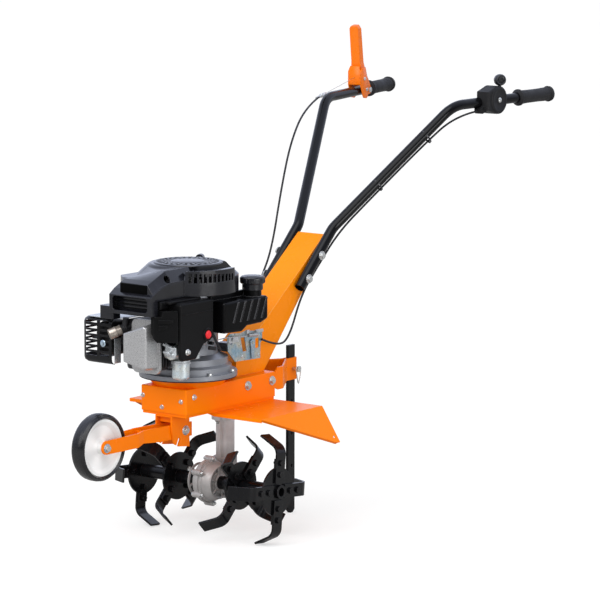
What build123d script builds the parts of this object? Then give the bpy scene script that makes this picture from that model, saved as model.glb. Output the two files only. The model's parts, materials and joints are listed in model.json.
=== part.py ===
from build123d import *
import os
from math import acos, cos, degrees, radians, sin, tan

os.makedirs("parts", exist_ok=True)

# Millimetres. In the sketches x is counted ahead of the tine axle, y to the left, z up from the ground.
AXLE_X = 295.0
AXLE_Z = 130.0
ENGINE_X = 77.0
GEAR_X = -60.0
RUN = 0.05
HALF_BOLT = 4.0

# Frame
CHASSIS_REAR = -164.0
CHASSIS_FRONT = 167.0
CHASSIS_MIDDLE = (CHASSIS_FRONT + CHASSIS_REAR) / 2
CHASSIS_HALF = 68.0
CHASSIS_BOTTOM = 317.0
CHASSIS_TOP = 376.0
SHEET = 3.0
CHASSIS_CORNER = 4.0
CHASSIS_EDGE = 2.5
COVER_BOTTOM = 310.0
COVER_SHEET = 2.5
COVER_RIM = 12.0
COVER_HALF = CHASSIS_HALF - SHEET
CRANK_HOLE = 38.0
CABLE_HOLE = (-130.0, -48.0)
IDLER_PIVOT = (62.0, 52.0)
SIDE_BOLTS = (-60.0, -152.0)
SIDE_BOLT_Z = 356.0
FENDER_REAR = -161.0
FENDER_FRONT = 70.0
RIGHT_FENDER_FRONT = 40.0
FENDER_INNER = 45.0
FENDER_FOLD = 211.7
FENDER_SHEET = 2.0
FENDER_LIP = 8.0
FLAP_REACH = (53.3, -80.4)
COLUMN_HALF = 40.0
COLUMN_SHEET = 2.5
HANDLE_BOLTS = ((-300.0, 583.0), (-351.0, 634.0))

# Depth bar
BAR_X = -312.0
BAR_LENGTH = 415.0
BAR_WIDE = 25.0
BAR_THICK = 8.0
BAR_PIN_Z = 357.0
BAR_STEP = 80.0
PIN_R = 4.0

# Front wheel
WHEEL_X = 394.0
WHEEL_Z = 270.7
TYRE_R = 77.2
TYRE_HALF = 19.0
RIM_R = 65.0
PIVOT_X = 117.0
PIVOT_Z = 271.0
STRAP = 4.0
STRAP_REAR_Y = 18.0
STRAP_WHEEL_Y = 22.5
BRACKET_IN = 21.0
BRACKET_OUT = 24.6

# Handles
TUBE_R = 12.5
TUBE_BORE = 10.5
TUBE_POINTS = ((-279.0, 52.5, 562.0), (-411.0, 52.5, 694.0), (-711.0, 196.0, 979.0), (-1055.0, 250.0, 990.0))
TUBE_BENDS = (60.0, 90.0)
GRIP_LENGTH = 118.0
GRIP_R = 16.5
LEVER_PIVOT = (-915.0, -228.0, 985.5)
LEVER_SHEET = 2.5
THROTTLE_X = -850.0
THROTTLE_Z = 985.0
CABLE_R = 2.5

# Engine
CYLINDER_Z = 484.0
HEAD_X = 205.0
COVER_X = 240.0
SHROUD_R = 118.0
SHROUD_BOTTOM = 594.0
SHROUD_RIM = 632.0
SHROUD_TOP = 660.0
SHROUD_WALL = 3.0
SHROUD_SIDE = 105.0
HOOD_X = 290.0
HOOD_NEAR = 68.0
HOOD_FAR = -56.0
HOOD_LOW = 560.0
CRANK_R = 11.0
THROW = 22.0

# Drive
BELT_LOW = 345.5
BELT_HIGH = 354.5
PULLEY_LOW = 342.0
PULLEY_HIGH = 358.0
ENGINE_PULLEY_R = 28.0
INPUT_PULLEY_R = 40.0
IDLER = (5.0, 53.5)
IDLER_R = 9.0
WORM_R = 9.0
MODULE = 3.0
TEETH = 28
WORM_PITCH_R = 18.0

# Tines
SHAFT_R = 10.0
SHAFT_HALF = 110.0
HUB_R = 16.0
HUB_BORE = 10.0
SOCKET_BORE = 10.5
SOCKET_START = 112.0
HUB_IN = 36.0
HUB_OUT = 216.0
PLATE = 5.0
PLATE_IN = 92.0
PLATE_OUT = 200.0
PLATE_R = 57.0
EAR_WIDE = 28.0
EAR_OUT = 77.0
BLADE_THICK = 5.0
BLADE_WIDE = 32.0
BLADE_FOOT = 20.0
BLADE_CORNER = 101.5
BLADE_TIP = 126.5
BLADE_BEND = 24.0
BLADE_REACH = 50.0
TINE_BOLT_RADII = (40.0, 67.0)
INNER_PHASES = (45.0, 135.0, 225.0, 315.0)
OUTER_PHASES = (355.0, 85.0, 175.0, 265.0)
HITCH_Y = 60.0


def at(x, y, z):
    return (AXLE_X + x, y, z)


def level(z, x=0.0, y=0.0):
    return Plane(origin=at(x, y, z), x_dir=(1, 0, 0), z_dir=(0, 0, 1))


def side(y=0.0, x=0.0, z=0.0):
    return Plane(origin=at(x, y, z), x_dir=(1, 0, 0), z_dir=(0, -1, 0))


def front(x, y=0.0, z=0.0):
    return Plane(origin=at(x, y, z), x_dir=(0, 1, 0), z_dir=(1, 0, 0))


def upright(x):
    return Axis(at(x, 0, 0), (0, 0, 1))


def crosswise(x, z):
    return Axis(at(x, 0, z), (0, 1, 0))


def bend_radii(points, most):
    radii = []
    for before, here, after in zip(points, points[1:], points[2:]):
        first = Vector(*here) - Vector(*before)
        second = Vector(*after) - Vector(*here)
        turn = acos(max(-1.0, min(1.0, first.normalized().dot(second.normalized()))))
        radii.append(min(most, 0.45 * min(first.length, second.length) / tan(turn / 2)))
    return radii


def moved(points, flip=1):
    return [at(x, flip * y, z) for x, y, z in points]


# Pressed box over the belt, open below and behind
with BuildPart() as chassis:
    with BuildSketch(level(CHASSIS_BOTTOM, CHASSIS_MIDDLE)):
        Rectangle(CHASSIS_FRONT - CHASSIS_REAR, 2 * CHASSIS_HALF)
    extrude(amount=CHASSIS_TOP - CHASSIS_BOTTOM)
    fillet(chassis.edges().filter_by(Axis.Z).group_by(Axis.X)[-1], CHASSIS_CORNER)
    fillet(chassis.faces().sort_by(Axis.Z)[-1].edges().sort_by(Axis.X)[1:], CHASSIS_EDGE)
    with BuildSketch(level(CHASSIS_BOTTOM, CHASSIS_MIDDLE - SHEET)) as box_inside:
        Rectangle(CHASSIS_FRONT - CHASSIS_REAR, 2 * COVER_HALF)
        fillet(box_inside.vertices().group_by(Axis.X)[-1], CHASSIS_CORNER - SHEET)
    extrude(amount=CHASSIS_TOP - CHASSIS_BOTTOM - SHEET, mode=Mode.SUBTRACT)
    with BuildSketch(level(CHASSIS_TOP)):
        with Locations((ENGINE_X, 0)):
            Circle(CRANK_HOLE)
        with Locations(CABLE_HOLE):
            Circle(CABLE_R + 0.5)
    extrude(amount=-SHEET, mode=Mode.SUBTRACT)
    with BuildSketch(level(CHASSIS_TOP - SHEET)):
        with Locations(IDLER_PIVOT):
            Circle(5)
    extrude(amount=-15)
    with BuildSketch(side(0, 0, SIDE_BOLT_Z)):
        with Locations(*[(x, 0) for x in SIDE_BOLTS]):
            Circle(HALF_BOLT)
    extrude(amount=CHASSIS_HALF, both=True, mode=Mode.SUBTRACT)
chassis.part.label = "chassis"
export_step(chassis.part, "parts/chassis.step")

# Tray that closes the belt box from below, with tabs at its bolts
TAB_LENGTH = 30.0
with BuildPart() as belt_cover:
    with BuildSketch(level(COVER_BOTTOM, CHASSIS_MIDDLE - SHEET / 2)) as tray:
        Rectangle(CHASSIS_FRONT - CHASSIS_REAR - SHEET, 2 * COVER_HALF)
        fillet(tray.vertices().group_by(Axis.X)[-1], CHASSIS_CORNER - SHEET)
        with Locations((GEAR_X - CHASSIS_MIDDLE + SHEET / 2, 0)):
            Circle(30, mode=Mode.SUBTRACT)
    extrude(amount=COVER_RIM)
    with BuildSketch(level(COVER_BOTTOM + COVER_SHEET, CHASSIS_MIDDLE - SHEET - COVER_SHEET)):
        Rectangle(CHASSIS_FRONT - CHASSIS_REAR, 2 * (COVER_HALF - COVER_SHEET))
    extrude(amount=COVER_RIM, mode=Mode.SUBTRACT)
    with BuildSketch(level(COVER_BOTTOM)):
        for flip in (1, -1):
            for tab_x in (SIDE_BOLTS[0], 138):
                with Locations((tab_x, flip * (COVER_HALF - COVER_SHEET / 2))):
                    Rectangle(TAB_LENGTH, COVER_SHEET)
        with Locations((CHASSIS_FRONT - SHEET - COVER_SHEET / 2, 0)):
            Rectangle(COVER_SHEET, 3 * TAB_LENGTH)
    extrude(amount=CHASSIS_TOP - COVER_BOTTOM - 2 * SHEET)
    with BuildSketch(side(0, 0, SIDE_BOLT_Z)):
        with Locations((SIDE_BOLTS[0], 0)):
            Circle(HALF_BOLT)
    extrude(amount=CHASSIS_HALF, both=True, mode=Mode.SUBTRACT)
belt_cover.part.label = "belt_cover"
export_step(belt_cover.part, "parts/belt_cover.step")

# Pressed bowl that carries the engine
SEAT_PROFILE = (
    (CRANK_HOLE + 2, 376), (83, 376), (94, 389), (94, 393), (101, 393), (101, 396), (91, 396), (91, 390),
    (81.5, 379), (CRANK_HOLE + 2, 379),
)
with BuildPart() as engine_seat:
    with BuildSketch(side(0, ENGINE_X)):
        with BuildLine():
            Polyline(*SEAT_PROFILE, close=True)
        make_face()
    revolve(axis=upright(ENGINE_X))
engine_seat.part.label = "engine_seat"
export_step(engine_seat.part, "parts/engine_seat.step")

# Fender: flat top, folded three-cornered flap, lips on the front edge and along the flap
FLAP_LENGTH = (FLAP_REACH[0] ** 2 + FLAP_REACH[1] ** 2) ** 0.5
FLAP_PLANE = Plane(
    origin=at(FENDER_REAR, FENDER_FOLD, COVER_BOTTOM),
    x_dir=(1, 0, 0),
    z_dir=(0, -FLAP_REACH[1], FLAP_REACH[0]),
)


def fender(ahead):
    long = ahead - FENDER_REAR
    with BuildPart() as sheet:
        with BuildSketch(level(COVER_BOTTOM)):
            with BuildLine():
                Polyline(
                    (FENDER_REAR, FENDER_INNER), (ahead, FENDER_INNER), (ahead, FENDER_FOLD),
                    (FENDER_REAR, FENDER_FOLD), close=True,
                )
            make_face()
        extrude(amount=-FENDER_SHEET)
        with BuildSketch(FLAP_PLANE):
            with BuildLine():
                Polyline((0, 0), (long, 0), (10, FLAP_LENGTH), (0, FLAP_LENGTH), close=True)
            make_face()
            with Locations((12, FLAP_LENGTH - 16)):
                Circle(3, mode=Mode.SUBTRACT)
        extrude(amount=-FENDER_SHEET)
        with BuildSketch(FLAP_PLANE):
            with BuildLine():
                Polyline((long, 0), (10, FLAP_LENGTH), (7, FLAP_LENGTH - 1), (long - 6, 0), close=True)
            make_face()
        extrude(amount=-FENDER_LIP)
        with BuildSketch(front(ahead)):
            with BuildLine():
                Polyline(
                    (FENDER_INNER, COVER_BOTTOM), (FENDER_FOLD, COVER_BOTTOM),
                    (FENDER_FOLD, COVER_BOTTOM - FENDER_LIP), (CHASSIS_HALF + 4, COVER_BOTTOM - FENDER_LIP),
                    (FENDER_INNER, COVER_BOTTOM - FENDER_SHEET), close=True,
                )
            make_face()
        extrude(amount=-FENDER_SHEET)
    return sheet.part


with BuildPart() as left_fender:
    add(fender(FENDER_FRONT))
left_fender.part.label = "left_fender"
export_step(left_fender.part, "parts/left_fender.step")

with BuildPart() as right_fender:
    mirror(fender(RIGHT_FENDER_FRONT), about=Plane.XZ)
right_fender.part.label = "right_fender"
export_step(right_fender.part, "parts/right_fender.step")

# Channel that carries the handlebars, open to the rear
COLUMN_SIDE = ((-394, 680), (-52, 410), (-52, 376), (-157, 376), (-324, 567), (-412, 668))
with BuildPart() as handle_column:
    with BuildSketch(side()):
        with BuildLine():
            Polyline(*COLUMN_SIDE, close=True)
        make_face()
    extrude(amount=COLUMN_HALF, both=True)
    column_open = handle_column.faces().filter_by(lambda f: f.normal_at().X < -0.2)
    offset(amount=-COLUMN_SHEET, openings=column_open)
    with BuildSketch(side(0)):
        with Locations(*HANDLE_BOLTS):
            Circle(HALF_BOLT)
    extrude(amount=COLUMN_HALF, both=True, mode=Mode.SUBTRACT)
handle_column.part.label = "handle_column"
export_step(handle_column.part, "parts/handle_column.step")

# Strip bent into a socket around the depth bar
SOCKET_THICK = 4.0
SOCKET_Y = BAR_THICK / 2 + 0.3 + SOCKET_THICK / 2
SOCKET_END = BAR_X - BAR_WIDE / 2 - 0.3 - SOCKET_THICK / 2
SOCKET_SIDE = COVER_HALF - SOCKET_THICK / 2
with BuildPart() as depth_bar_bracket:
    with BuildSketch(level(330)):
        with BuildLine():
            FilletPolyline(
                (-122, SOCKET_SIDE), (-200, SOCKET_SIDE), (-286, SOCKET_Y), (SOCKET_END, SOCKET_Y),
                (SOCKET_END, -SOCKET_Y), (-286, -SOCKET_Y), (-200, -SOCKET_SIDE), (-122, -SOCKET_SIDE),
                radius=[12, 12, 2.2, 2.2, 12, 12],
            )
        trace(line_width=SOCKET_THICK)
        with Locations((BAR_X + BAR_WIDE / 2 + 0.3 + SOCKET_THICK / 2, 0)):
            Rectangle(SOCKET_THICK, 2 * SOCKET_Y)
    extrude(amount=54)
    with BuildSketch(side(0)):
        with BuildLine():
            Polyline((-168, 384), (-180, 384), (-168, 371), close=True)
        make_face()
        with BuildLine():
            Polyline((-168, 371), (-120, 371), (-120, 384), (-168, 384), close=True)
        make_face()
        with BuildLine():
            Polyline((-180, 330), (-120, 330), (-120, 336), (-168, 336), close=True)
        make_face()
        with Locations((SIDE_BOLTS[1], SIDE_BOLT_Z), (BAR_X, BAR_PIN_Z)):
            Circle(HALF_BOLT + RUN)
    extrude(amount=CHASSIS_HALF, both=True, mode=Mode.SUBTRACT)
depth_bar_bracket.part.label = "depth_bar_bracket"
export_step(depth_bar_bracket.part, "parts/depth_bar_bracket.step")

# Flat bar that sets the digging depth
with BuildPart() as depth_bar:
    with BuildSketch(side(0, BAR_X)):
        with BuildLine():
            Polyline(
                (-BAR_WIDE / 2, 8), (-BAR_WIDE / 2 + 8, 0), (BAR_WIDE / 2 - 8, 0), (BAR_WIDE / 2, 8),
                (BAR_WIDE / 2, BAR_LENGTH), (-BAR_WIDE / 2, BAR_LENGTH), close=True,
            )
        make_face()
        with Locations(*[(0, BAR_PIN_Z - k * BAR_STEP) for k in range(4)]):
            Circle(PIN_R + RUN, mode=Mode.SUBTRACT)
    extrude(amount=BAR_THICK / 2, both=True)
depth_bar.part.label = "depth_bar"
export_step(depth_bar.part, "parts/depth_bar.step")

# Pin through the depth bar, with a spring ring to draw it by
with BuildPart() as depth_pin:
    with BuildSketch(side(22, BAR_X, BAR_PIN_Z)):
        Circle(PIN_R)
    extrude(amount=42)
    with BuildSketch(side(22, BAR_X, BAR_PIN_Z)):
        Circle(8)
    extrude(amount=5)
    with BuildSketch(level(BAR_PIN_Z, BAR_X, 27)):
        with BuildLine():
            FilletPolyline((-12, 0), (-12, 22), (12, 22), (12, 0), radius=9, close=True)
        make_face()
        offset(amount=-2.5, mode=Mode.SUBTRACT)
    extrude(amount=1.25, both=True)
    with BuildSketch(side(22, BAR_X, BAR_PIN_Z)):
        Rectangle(8, 5)
    extrude(amount=-6)
depth_pin.part.label = "depth_pin"
export_step(depth_pin.part, "parts/depth_pin.step")

# Two plates and a top that hold the wheel fork
BRACKET_PLATE = ((102.5, 310), (102.5, 231), (143, 236.5), (159, 245), (167, 279), (167, 310))
with BuildPart() as wheel_bracket:
    with BuildSketch(side(0)):
        with BuildLine():
            Polyline(*BRACKET_PLATE, close=True)
        make_face()
        with Locations((PIVOT_X, PIVOT_Z)):
            Circle(HALF_BOLT, mode=Mode.SUBTRACT)
        with Locations(Location((146, 241), 117)):
            SlotOverall(34, 7, mode=Mode.SUBTRACT)
    extrude(amount=BRACKET_OUT, both=True)
    with BuildSketch(front(100)):
        with BuildLine():
            Polyline(
                (-BRACKET_IN, 200), (BRACKET_IN, 200), (BRACKET_IN, 307), (-BRACKET_IN, 307), close=True
            )
        make_face()
    extrude(amount=100, mode=Mode.SUBTRACT)
    with BuildSketch(level(293, 153)):
        Rectangle(4, 2 * BRACKET_IN)
    extrude(amount=14)
wheel_bracket.part.label = "wheel_bracket"
export_step(wheel_bracket.part, "parts/wheel_bracket.step")

# Fork of two joggled straps with a web between them
FORK_PLATE = (
    (88, 254), (196, 255), (262, 261), (286, 255), (WHEEL_X, 256.4), (WHEEL_X, 287.4), (286, 288),
    (253, 291), (88, 287),
)
with BuildPart() as wheel_fork:
    with BuildSketch(level(240)):
        with BuildLine():
            FilletPolyline(
                (80, STRAP_REAR_Y), (260, STRAP_REAR_Y), (284, STRAP_WHEEL_Y), (415, STRAP_WHEEL_Y),
                radius=[12, 12],
            )
        trace(line_width=STRAP)
    extrude(amount=60)
    with BuildSketch(side(0)):
        with BuildLine():
            Polyline(*FORK_PLATE, close=True)
        make_face()
        with Locations((WHEEL_X, (FORK_PLATE[4][1] + FORK_PLATE[5][1]) / 2)):
            Circle((FORK_PLATE[5][1] - FORK_PLATE[4][1]) / 2)
        with Locations((PIVOT_X, PIVOT_Z)):
            Circle(HALF_BOLT + RUN, mode=Mode.SUBTRACT)
        with Locations((WHEEL_X, WHEEL_Z)):
            Circle(HALF_BOLT, mode=Mode.SUBTRACT)
    extrude(amount=40, both=True, mode=Mode.INTERSECT)
    mirror(about=Plane.XZ)
    with BuildSketch(front(240)):
        with Locations((0, 273)):
            Rectangle(2 * STRAP_REAR_Y, 24)
    extrude(amount=STRAP)
    with BuildSketch(side(STRAP_REAR_Y - 1, PIVOT_X, PIVOT_Z)):
        Circle(8)
        Circle(HALF_BOLT + RUN, mode=Mode.SUBTRACT)
    extrude(amount=2 * STRAP_REAR_Y - 2)
wheel_fork.part.label = "wheel_fork"
export_step(wheel_fork.part, "parts/wheel_fork.step")

# Moulded hub, dished on both faces
HUB_HALF_PROFILE = ((19.5, HALF_BOLT + RUN), (19.5, 13), (9, 17), (6, 24), (6, 50), (14, 59), (14, RIM_R))
with BuildPart() as wheel_hub:
    with BuildSketch(front(WHEEL_X, 0, WHEEL_Z)):
        with BuildLine():
            Polyline(*HUB_HALF_PROFILE, *[(-y, r) for y, r in reversed(HUB_HALF_PROFILE)], close=True)
        make_face()
    revolve(axis=crosswise(WHEEL_X, WHEEL_Z))
wheel_hub.part.label = "wheel_hub"
export_step(wheel_hub.part, "parts/wheel_hub.step")

TYRE_PROFILE = (
    (14, RIM_R), (TYRE_HALF, RIM_R + 4), (TYRE_HALF - 1, RIM_R + 7), (12, TYRE_R - 1), (5, TYRE_R),
)
with BuildPart() as wheel_tyre:
    with BuildSketch(front(WHEEL_X, 0, WHEEL_Z)):
        with BuildLine():
            Polyline(*TYRE_PROFILE, *[(-y, r) for y, r in reversed(TYRE_PROFILE)], close=True)
        make_face()
    revolve(axis=crosswise(WHEEL_X, WHEEL_Z))
wheel_tyre.part.label = "wheel_tyre"
export_step(wheel_tyre.part, "parts/wheel_tyre.step")

# Axle bolt with head and nut outside the fork
AXLE_END = STRAP_WHEEL_Y + STRAP / 2
with BuildPart() as axle_bolt:
    with BuildSketch(side(AXLE_END + 6, WHEEL_X, WHEEL_Z)):
        Circle(HALF_BOLT)
    extrude(amount=2 * AXLE_END + 16)
    for head_y in (AXLE_END, -AXLE_END - 7):
        with BuildSketch(side(head_y, WHEEL_X, WHEEL_Z)):
            RegularPolygon(7.5, 6)
        extrude(amount=-7)
axle_bolt.part.label = "axle_bolt"
export_step(axle_bolt.part, "parts/axle_bolt.step")

with BuildPart() as pivot_bolt:
    with BuildSketch(side(BRACKET_OUT + 6, PIVOT_X, PIVOT_Z)):
        Circle(HALF_BOLT)
    extrude(amount=2 * BRACKET_OUT + 16)
    for head_y in (BRACKET_OUT, -BRACKET_OUT - 7):
        with BuildSketch(side(head_y, PIVOT_X, PIVOT_Z)):
            RegularPolygon(7.5, 6)
        extrude(amount=-7)
pivot_bolt.part.label = "pivot_bolt"
export_step(pivot_bolt.part, "parts/pivot_bolt.step")

# Handlebar tubes: along the column, out sideways and back to the grips
with BuildPart() as left_handlebar:
    with BuildLine() as left_path:
        FilletPolyline(*moved(TUBE_POINTS), radius=list(TUBE_BENDS))
    with BuildSketch(Plane(origin=left_path.line @ 0, z_dir=left_path.line % 0)):
        Circle(TUBE_R)
        Circle(TUBE_BORE, mode=Mode.SUBTRACT)
    sweep(path=left_path.line)
    with BuildSketch(side(TUBE_POINTS[0][1])):
        with Locations(*HANDLE_BOLTS):
            Circle(HALF_BOLT)
    extrude(amount=2 * TUBE_R, both=True, mode=Mode.SUBTRACT)
left_handlebar.part.label = "left_handlebar"
export_step(left_handlebar.part, "parts/left_handlebar.step")

# The lever sits square on the right tube, in a plane that holds the tube's end run
TUBE_RUN = (Vector(*TUBE_POINTS[3]) - Vector(*TUBE_POINTS[2])).normalized()
LEVER_AHEAD = Vector(-TUBE_RUN.X, TUBE_RUN.Y, 0).normalized()
LEVER_PLANE = Plane(
    origin=at(*LEVER_PIVOT), x_dir=LEVER_AHEAD, z_dir=(LEVER_AHEAD.Y, -LEVER_AHEAD.X, 0)
)
LEVER_FACE = Plane(origin=at(*LEVER_PIVOT), x_dir=-LEVER_PLANE.z_dir, z_dir=LEVER_AHEAD)
with BuildPart() as right_handlebar:
    mirror(left_handlebar.part, about=Plane.XZ)
    with BuildSketch(LEVER_PLANE):
        Circle(HALF_BOLT)
    extrude(amount=2 * TUBE_R, both=True, mode=Mode.SUBTRACT)
right_handlebar.part.label = "right_handlebar"
export_step(right_handlebar.part, "parts/right_handlebar.step")

# Ribbed rubber grips, closed at the end
GRIP_PLANE = Plane(origin=at(*TUBE_POINTS[3]), x_dir=(-TUBE_RUN), z_dir=(0.0, 1.0, -TUBE_RUN.Y / TUBE_RUN.Z))
GRIP_PROFILE = (
    (-4, 0), (-4, GRIP_R + 2.5), (2, GRIP_R + 3.5), (4, GRIP_R), (GRIP_LENGTH - 10, GRIP_R),
    (GRIP_LENGTH - 8, GRIP_R + 4.5), (GRIP_LENGTH - 4, GRIP_R + 4.5), (GRIP_LENGTH, TUBE_R + 1.5),
    (GRIP_LENGTH, TUBE_R), (0, TUBE_R), (0, 0),
)
with BuildPart() as grips:
    with BuildSketch(GRIP_PLANE):
        with BuildLine():
            Polyline(*GRIP_PROFILE, close=True)
        make_face()
    revolve(axis=Axis(at(*TUBE_POINTS[3]), TUBE_RUN))
    mirror(about=Plane.XZ)
grips.part.label = "grips"
export_step(grips.part, "parts/grips.step")

# Clutch lever: a pressed channel that straddles the tube, open towards the grip
LEVER_HALF = TUBE_R + 1.0 + LEVER_SHEET
LEVER_TOP_HALF = 12.5
LEVER_FRONT = ((14, -6), (40, 17), (43, 60), (57, 166))
LEVER_BACK = ((40, 171), (24, 70), (12, 40), (-11, 6), (-8, -10), (4, -12))


def lever_body(inset):
    with BuildPart() as body:
        with BuildSketch(LEVER_PLANE):
            with BuildLine():
                Polyline(
                    *[(x - inset, y) for x, y in LEVER_FRONT],
                    *[(x - 12 * inset, y - inset) for x, y in LEVER_BACK], close=True,
                )
            make_face()
        extrude(amount=LEVER_HALF - inset, both=True)
        with BuildSketch(LEVER_FACE):
            with BuildLine():
                Polyline(
                    (-LEVER_HALF + inset, 30), (-LEVER_HALF + inset, -40), (LEVER_HALF - inset, -40),
                    (LEVER_HALF - inset, 30), (LEVER_TOP_HALF - inset, 76),
                    (LEVER_TOP_HALF - inset, 160 - inset), (LEVER_TOP_HALF - 6, 170 - inset),
                    (6 - LEVER_TOP_HALF, 170 - inset), (inset - LEVER_TOP_HALF, 160 - inset),
                    (inset - LEVER_TOP_HALF, 76), close=True,
                )
            make_face()
        extrude(amount=120, both=True, mode=Mode.INTERSECT)
    return body.part


with BuildPart() as clutch_lever:
    add(lever_body(0.0))
    add(lever_body(LEVER_SHEET), mode=Mode.SUBTRACT)
    with BuildSketch(LEVER_FACE):
        with Locations((0, -10)):
            SlotOverall(72, 2 * (LEVER_HALF - LEVER_SHEET), rotation=90)
    extrude(amount=60, both=True, mode=Mode.SUBTRACT)
    with BuildSketch(LEVER_PLANE):
        Circle(HALF_BOLT + RUN)
    extrude(amount=2 * TUBE_R, both=True, mode=Mode.SUBTRACT)
    with BuildSketch(LEVER_PLANE):
        with Locations((28, 38)):
            Circle(3)
    extrude(amount=LEVER_HALF, both=True)
clutch_lever.part.label = "clutch_lever"
export_step(clutch_lever.part, "parts/clutch_lever.step")

# Cables along their routes
CLUTCH_ROUTE = (
    (-672.0, -186.0, 985.0), (-560.0, -147.0, 966.0), (-453.0, -109.0, 892.0), (-388.0, -88.0, 782.0),
    (-337.0, -78.0, 636.0), (-292.0, -78.0, 568.0), (-196.0, -50.0, 446.0), (-130.0, -48.0, 398.0),
    (-130.0, -48.0, 366.0),
)
THROTTLE_ROUTE = (
    (-788.0, 211.0, 960.5), (-725.0, 191.0, 951.0), (-640.0, 160.0, 887.0), (-500.0, 95.0, 756.0),
    (-424.0, 61.0, 684.0), (-350.0, 55.0, 609.0), (-290.0, 50.0, 546.0), (-236.0, 55.0, 446.0),
    (-172.0, 70.0, 436.0), (-84.0, 91.0, 466.0),
)


def cable(route, most):
    points = moved(route)
    with BuildPart() as cord:
        with BuildLine() as path:
            FilletPolyline(*points, radius=bend_radii(points, most))
        with BuildSketch(Plane(origin=path.line @ 0, z_dir=path.line % 0)):
            Circle(CABLE_R)
        sweep(path=path.line)
    return cord.part


with BuildPart() as clutch_cable:
    add(cable(CLUTCH_ROUTE, 260.0))
clutch_cable.part.label = "clutch_cable"
export_step(clutch_cable.part, "parts/clutch_cable.step")

with BuildPart() as throttle_cable:
    add(cable(THROTTLE_ROUTE, 260.0))
throttle_cable.part.label = "throttle_cable"
export_step(throttle_cable.part, "parts/throttle_cable.step")

# Throttle control clamped on the left tube: a round case with a slot for the arm
CASE_FACE = 242.0
CASE_DEPTH = 36.0
CASE_MIDDLE = (5.0, 2.0)
CASE_ROUND = 35.0
SLOT_FACE = 237.6
SLOT_WIDE = 3.6
ARM_THICK = 2.4
ARM_PIN = 4.0
with BuildPart() as throttle_housing:
    with BuildSketch(side(CASE_FACE, THROTTLE_X, THROTTLE_Z)):
        with Locations(CASE_MIDDLE):
            Circle(CASE_ROUND)
        with BuildLine():
            Polyline((12, 36.2), (50, 24), (50, -22), (12, -32), close=True)
        make_face()
    extrude(amount=CASE_DEPTH)
    fillet(throttle_housing.faces().filter_by(Axis.Y).sort_by(Axis.Y)[-1].edges(), 5)
    with BuildSketch(side(CASE_FACE - 14, THROTTLE_X, THROTTLE_Z)):
        with BuildLine():
            Polyline((20, -20), (56, -30), (62, -18), (28, 4), close=True)
        make_face()
    extrude(amount=CASE_DEPTH - 14)
    with BuildSketch(side(SLOT_FACE, THROTTLE_X, THROTTLE_Z)):
        with BuildLine():
            Polyline((13, -2), (16, 60), (-70, 60), (-70, 15), (-13, -8), close=True)
        make_face()
        Circle(13)
        Circle(ARM_PIN, mode=Mode.SUBTRACT)
    extrude(amount=SLOT_WIDE, mode=Mode.SUBTRACT)
    with BuildSketch(Plane(origin=at(*TUBE_POINTS[3]), z_dir=(-TUBE_RUN))):
        Circle(TUBE_R)
    extrude(amount=300, mode=Mode.SUBTRACT)
throttle_housing.part.label = "throttle_housing"
export_step(throttle_housing.part, "parts/throttle_housing.step")

KNOB = (-7.0, 50.0)
KNOB_R = 12.0
ARM_FACE = SLOT_FACE - (SLOT_WIDE - ARM_THICK) / 2
with BuildPart() as throttle_lever:
    with BuildSketch(side(ARM_FACE, THROTTLE_X, THROTTLE_Z)):
        with BuildLine():
            Polyline((-9, 0), (9, 0), (KNOB[0] + 5, KNOB[1]), (KNOB[0] - 5, KNOB[1]), close=True)
        make_face()
        Circle(11)
        Circle(ARM_PIN + RUN, mode=Mode.SUBTRACT)
    extrude(amount=ARM_THICK)
    with Locations(at(THROTTLE_X + KNOB[0], ARM_FACE - ARM_THICK / 2, THROTTLE_Z + KNOB[1])):
        Sphere(KNOB_R)
throttle_lever.part.label = "throttle_lever"
export_step(throttle_lever.part, "parts/throttle_lever.step")

# Crankcase with its finned barrel lying forwards
CASE_PROFILE = (
    (CRANK_R + RUN, 396), (114.5, 396), (114.5, 406), (101, 406), (101, 420), (93, 426), (93, 440),
    (70, 448), (70, SHROUD_BOTTOM), (CRANK_R + RUN, SHROUD_BOTTOM), (CRANK_R + RUN, 586), (62, 586),
    (62, 446), (85, 434), (85, 408), (CRANK_R + RUN, 404),
)
BARREL_R = 44.0
BORE_R = 33.0
FIN_HALF = 54.0
FIN_PITCH = 11.0
with BuildPart() as crankcase:
    with BuildSketch(side(0, ENGINE_X)):
        with BuildLine():
            Polyline(*CASE_PROFILE, close=True)
        make_face()
    revolve(axis=upright(ENGINE_X))
    with BuildSketch(front(ENGINE_X + 62, 0, CYLINDER_Z)):
        Circle(BARREL_R)
    extrude(amount=HEAD_X - ENGINE_X - 62)
    for k in range(5):
        with BuildSketch(front(150 + FIN_PITCH * k, 0, CYLINDER_Z)):
            RectangleRounded(2 * FIN_HALF, 2 * FIN_HALF, 8)
        extrude(amount=3)
    with BuildSketch(front(ENGINE_X + 50, 0, CYLINDER_Z)):
        Circle(BORE_R)
    extrude(amount=HEAD_X - ENGINE_X - 50, mode=Mode.SUBTRACT)
    with BuildSketch(side(84, 2, 456)):
        Rectangle(22, 20)
    extrude(amount=50)
    with BuildSketch(level(400, 27, -87)):
        Circle(13)
    extrude(amount=52)
    with BuildSketch(level(408, 27, -87)):
        Circle(9)
    extrude(amount=44, mode=Mode.SUBTRACT)
    with BuildSketch(side(0, ENGINE_X)):
        with BuildLine():
            Polyline((0, 586), (62, 586), (62, 446), (85, 434), (85, 408), (0, 404), close=True)
        make_face()
    revolve(axis=upright(ENGINE_X), mode=Mode.SUBTRACT)
crankcase.part.label = "crankcase"
export_step(crankcase.part, "parts/crankcase.step")

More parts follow.
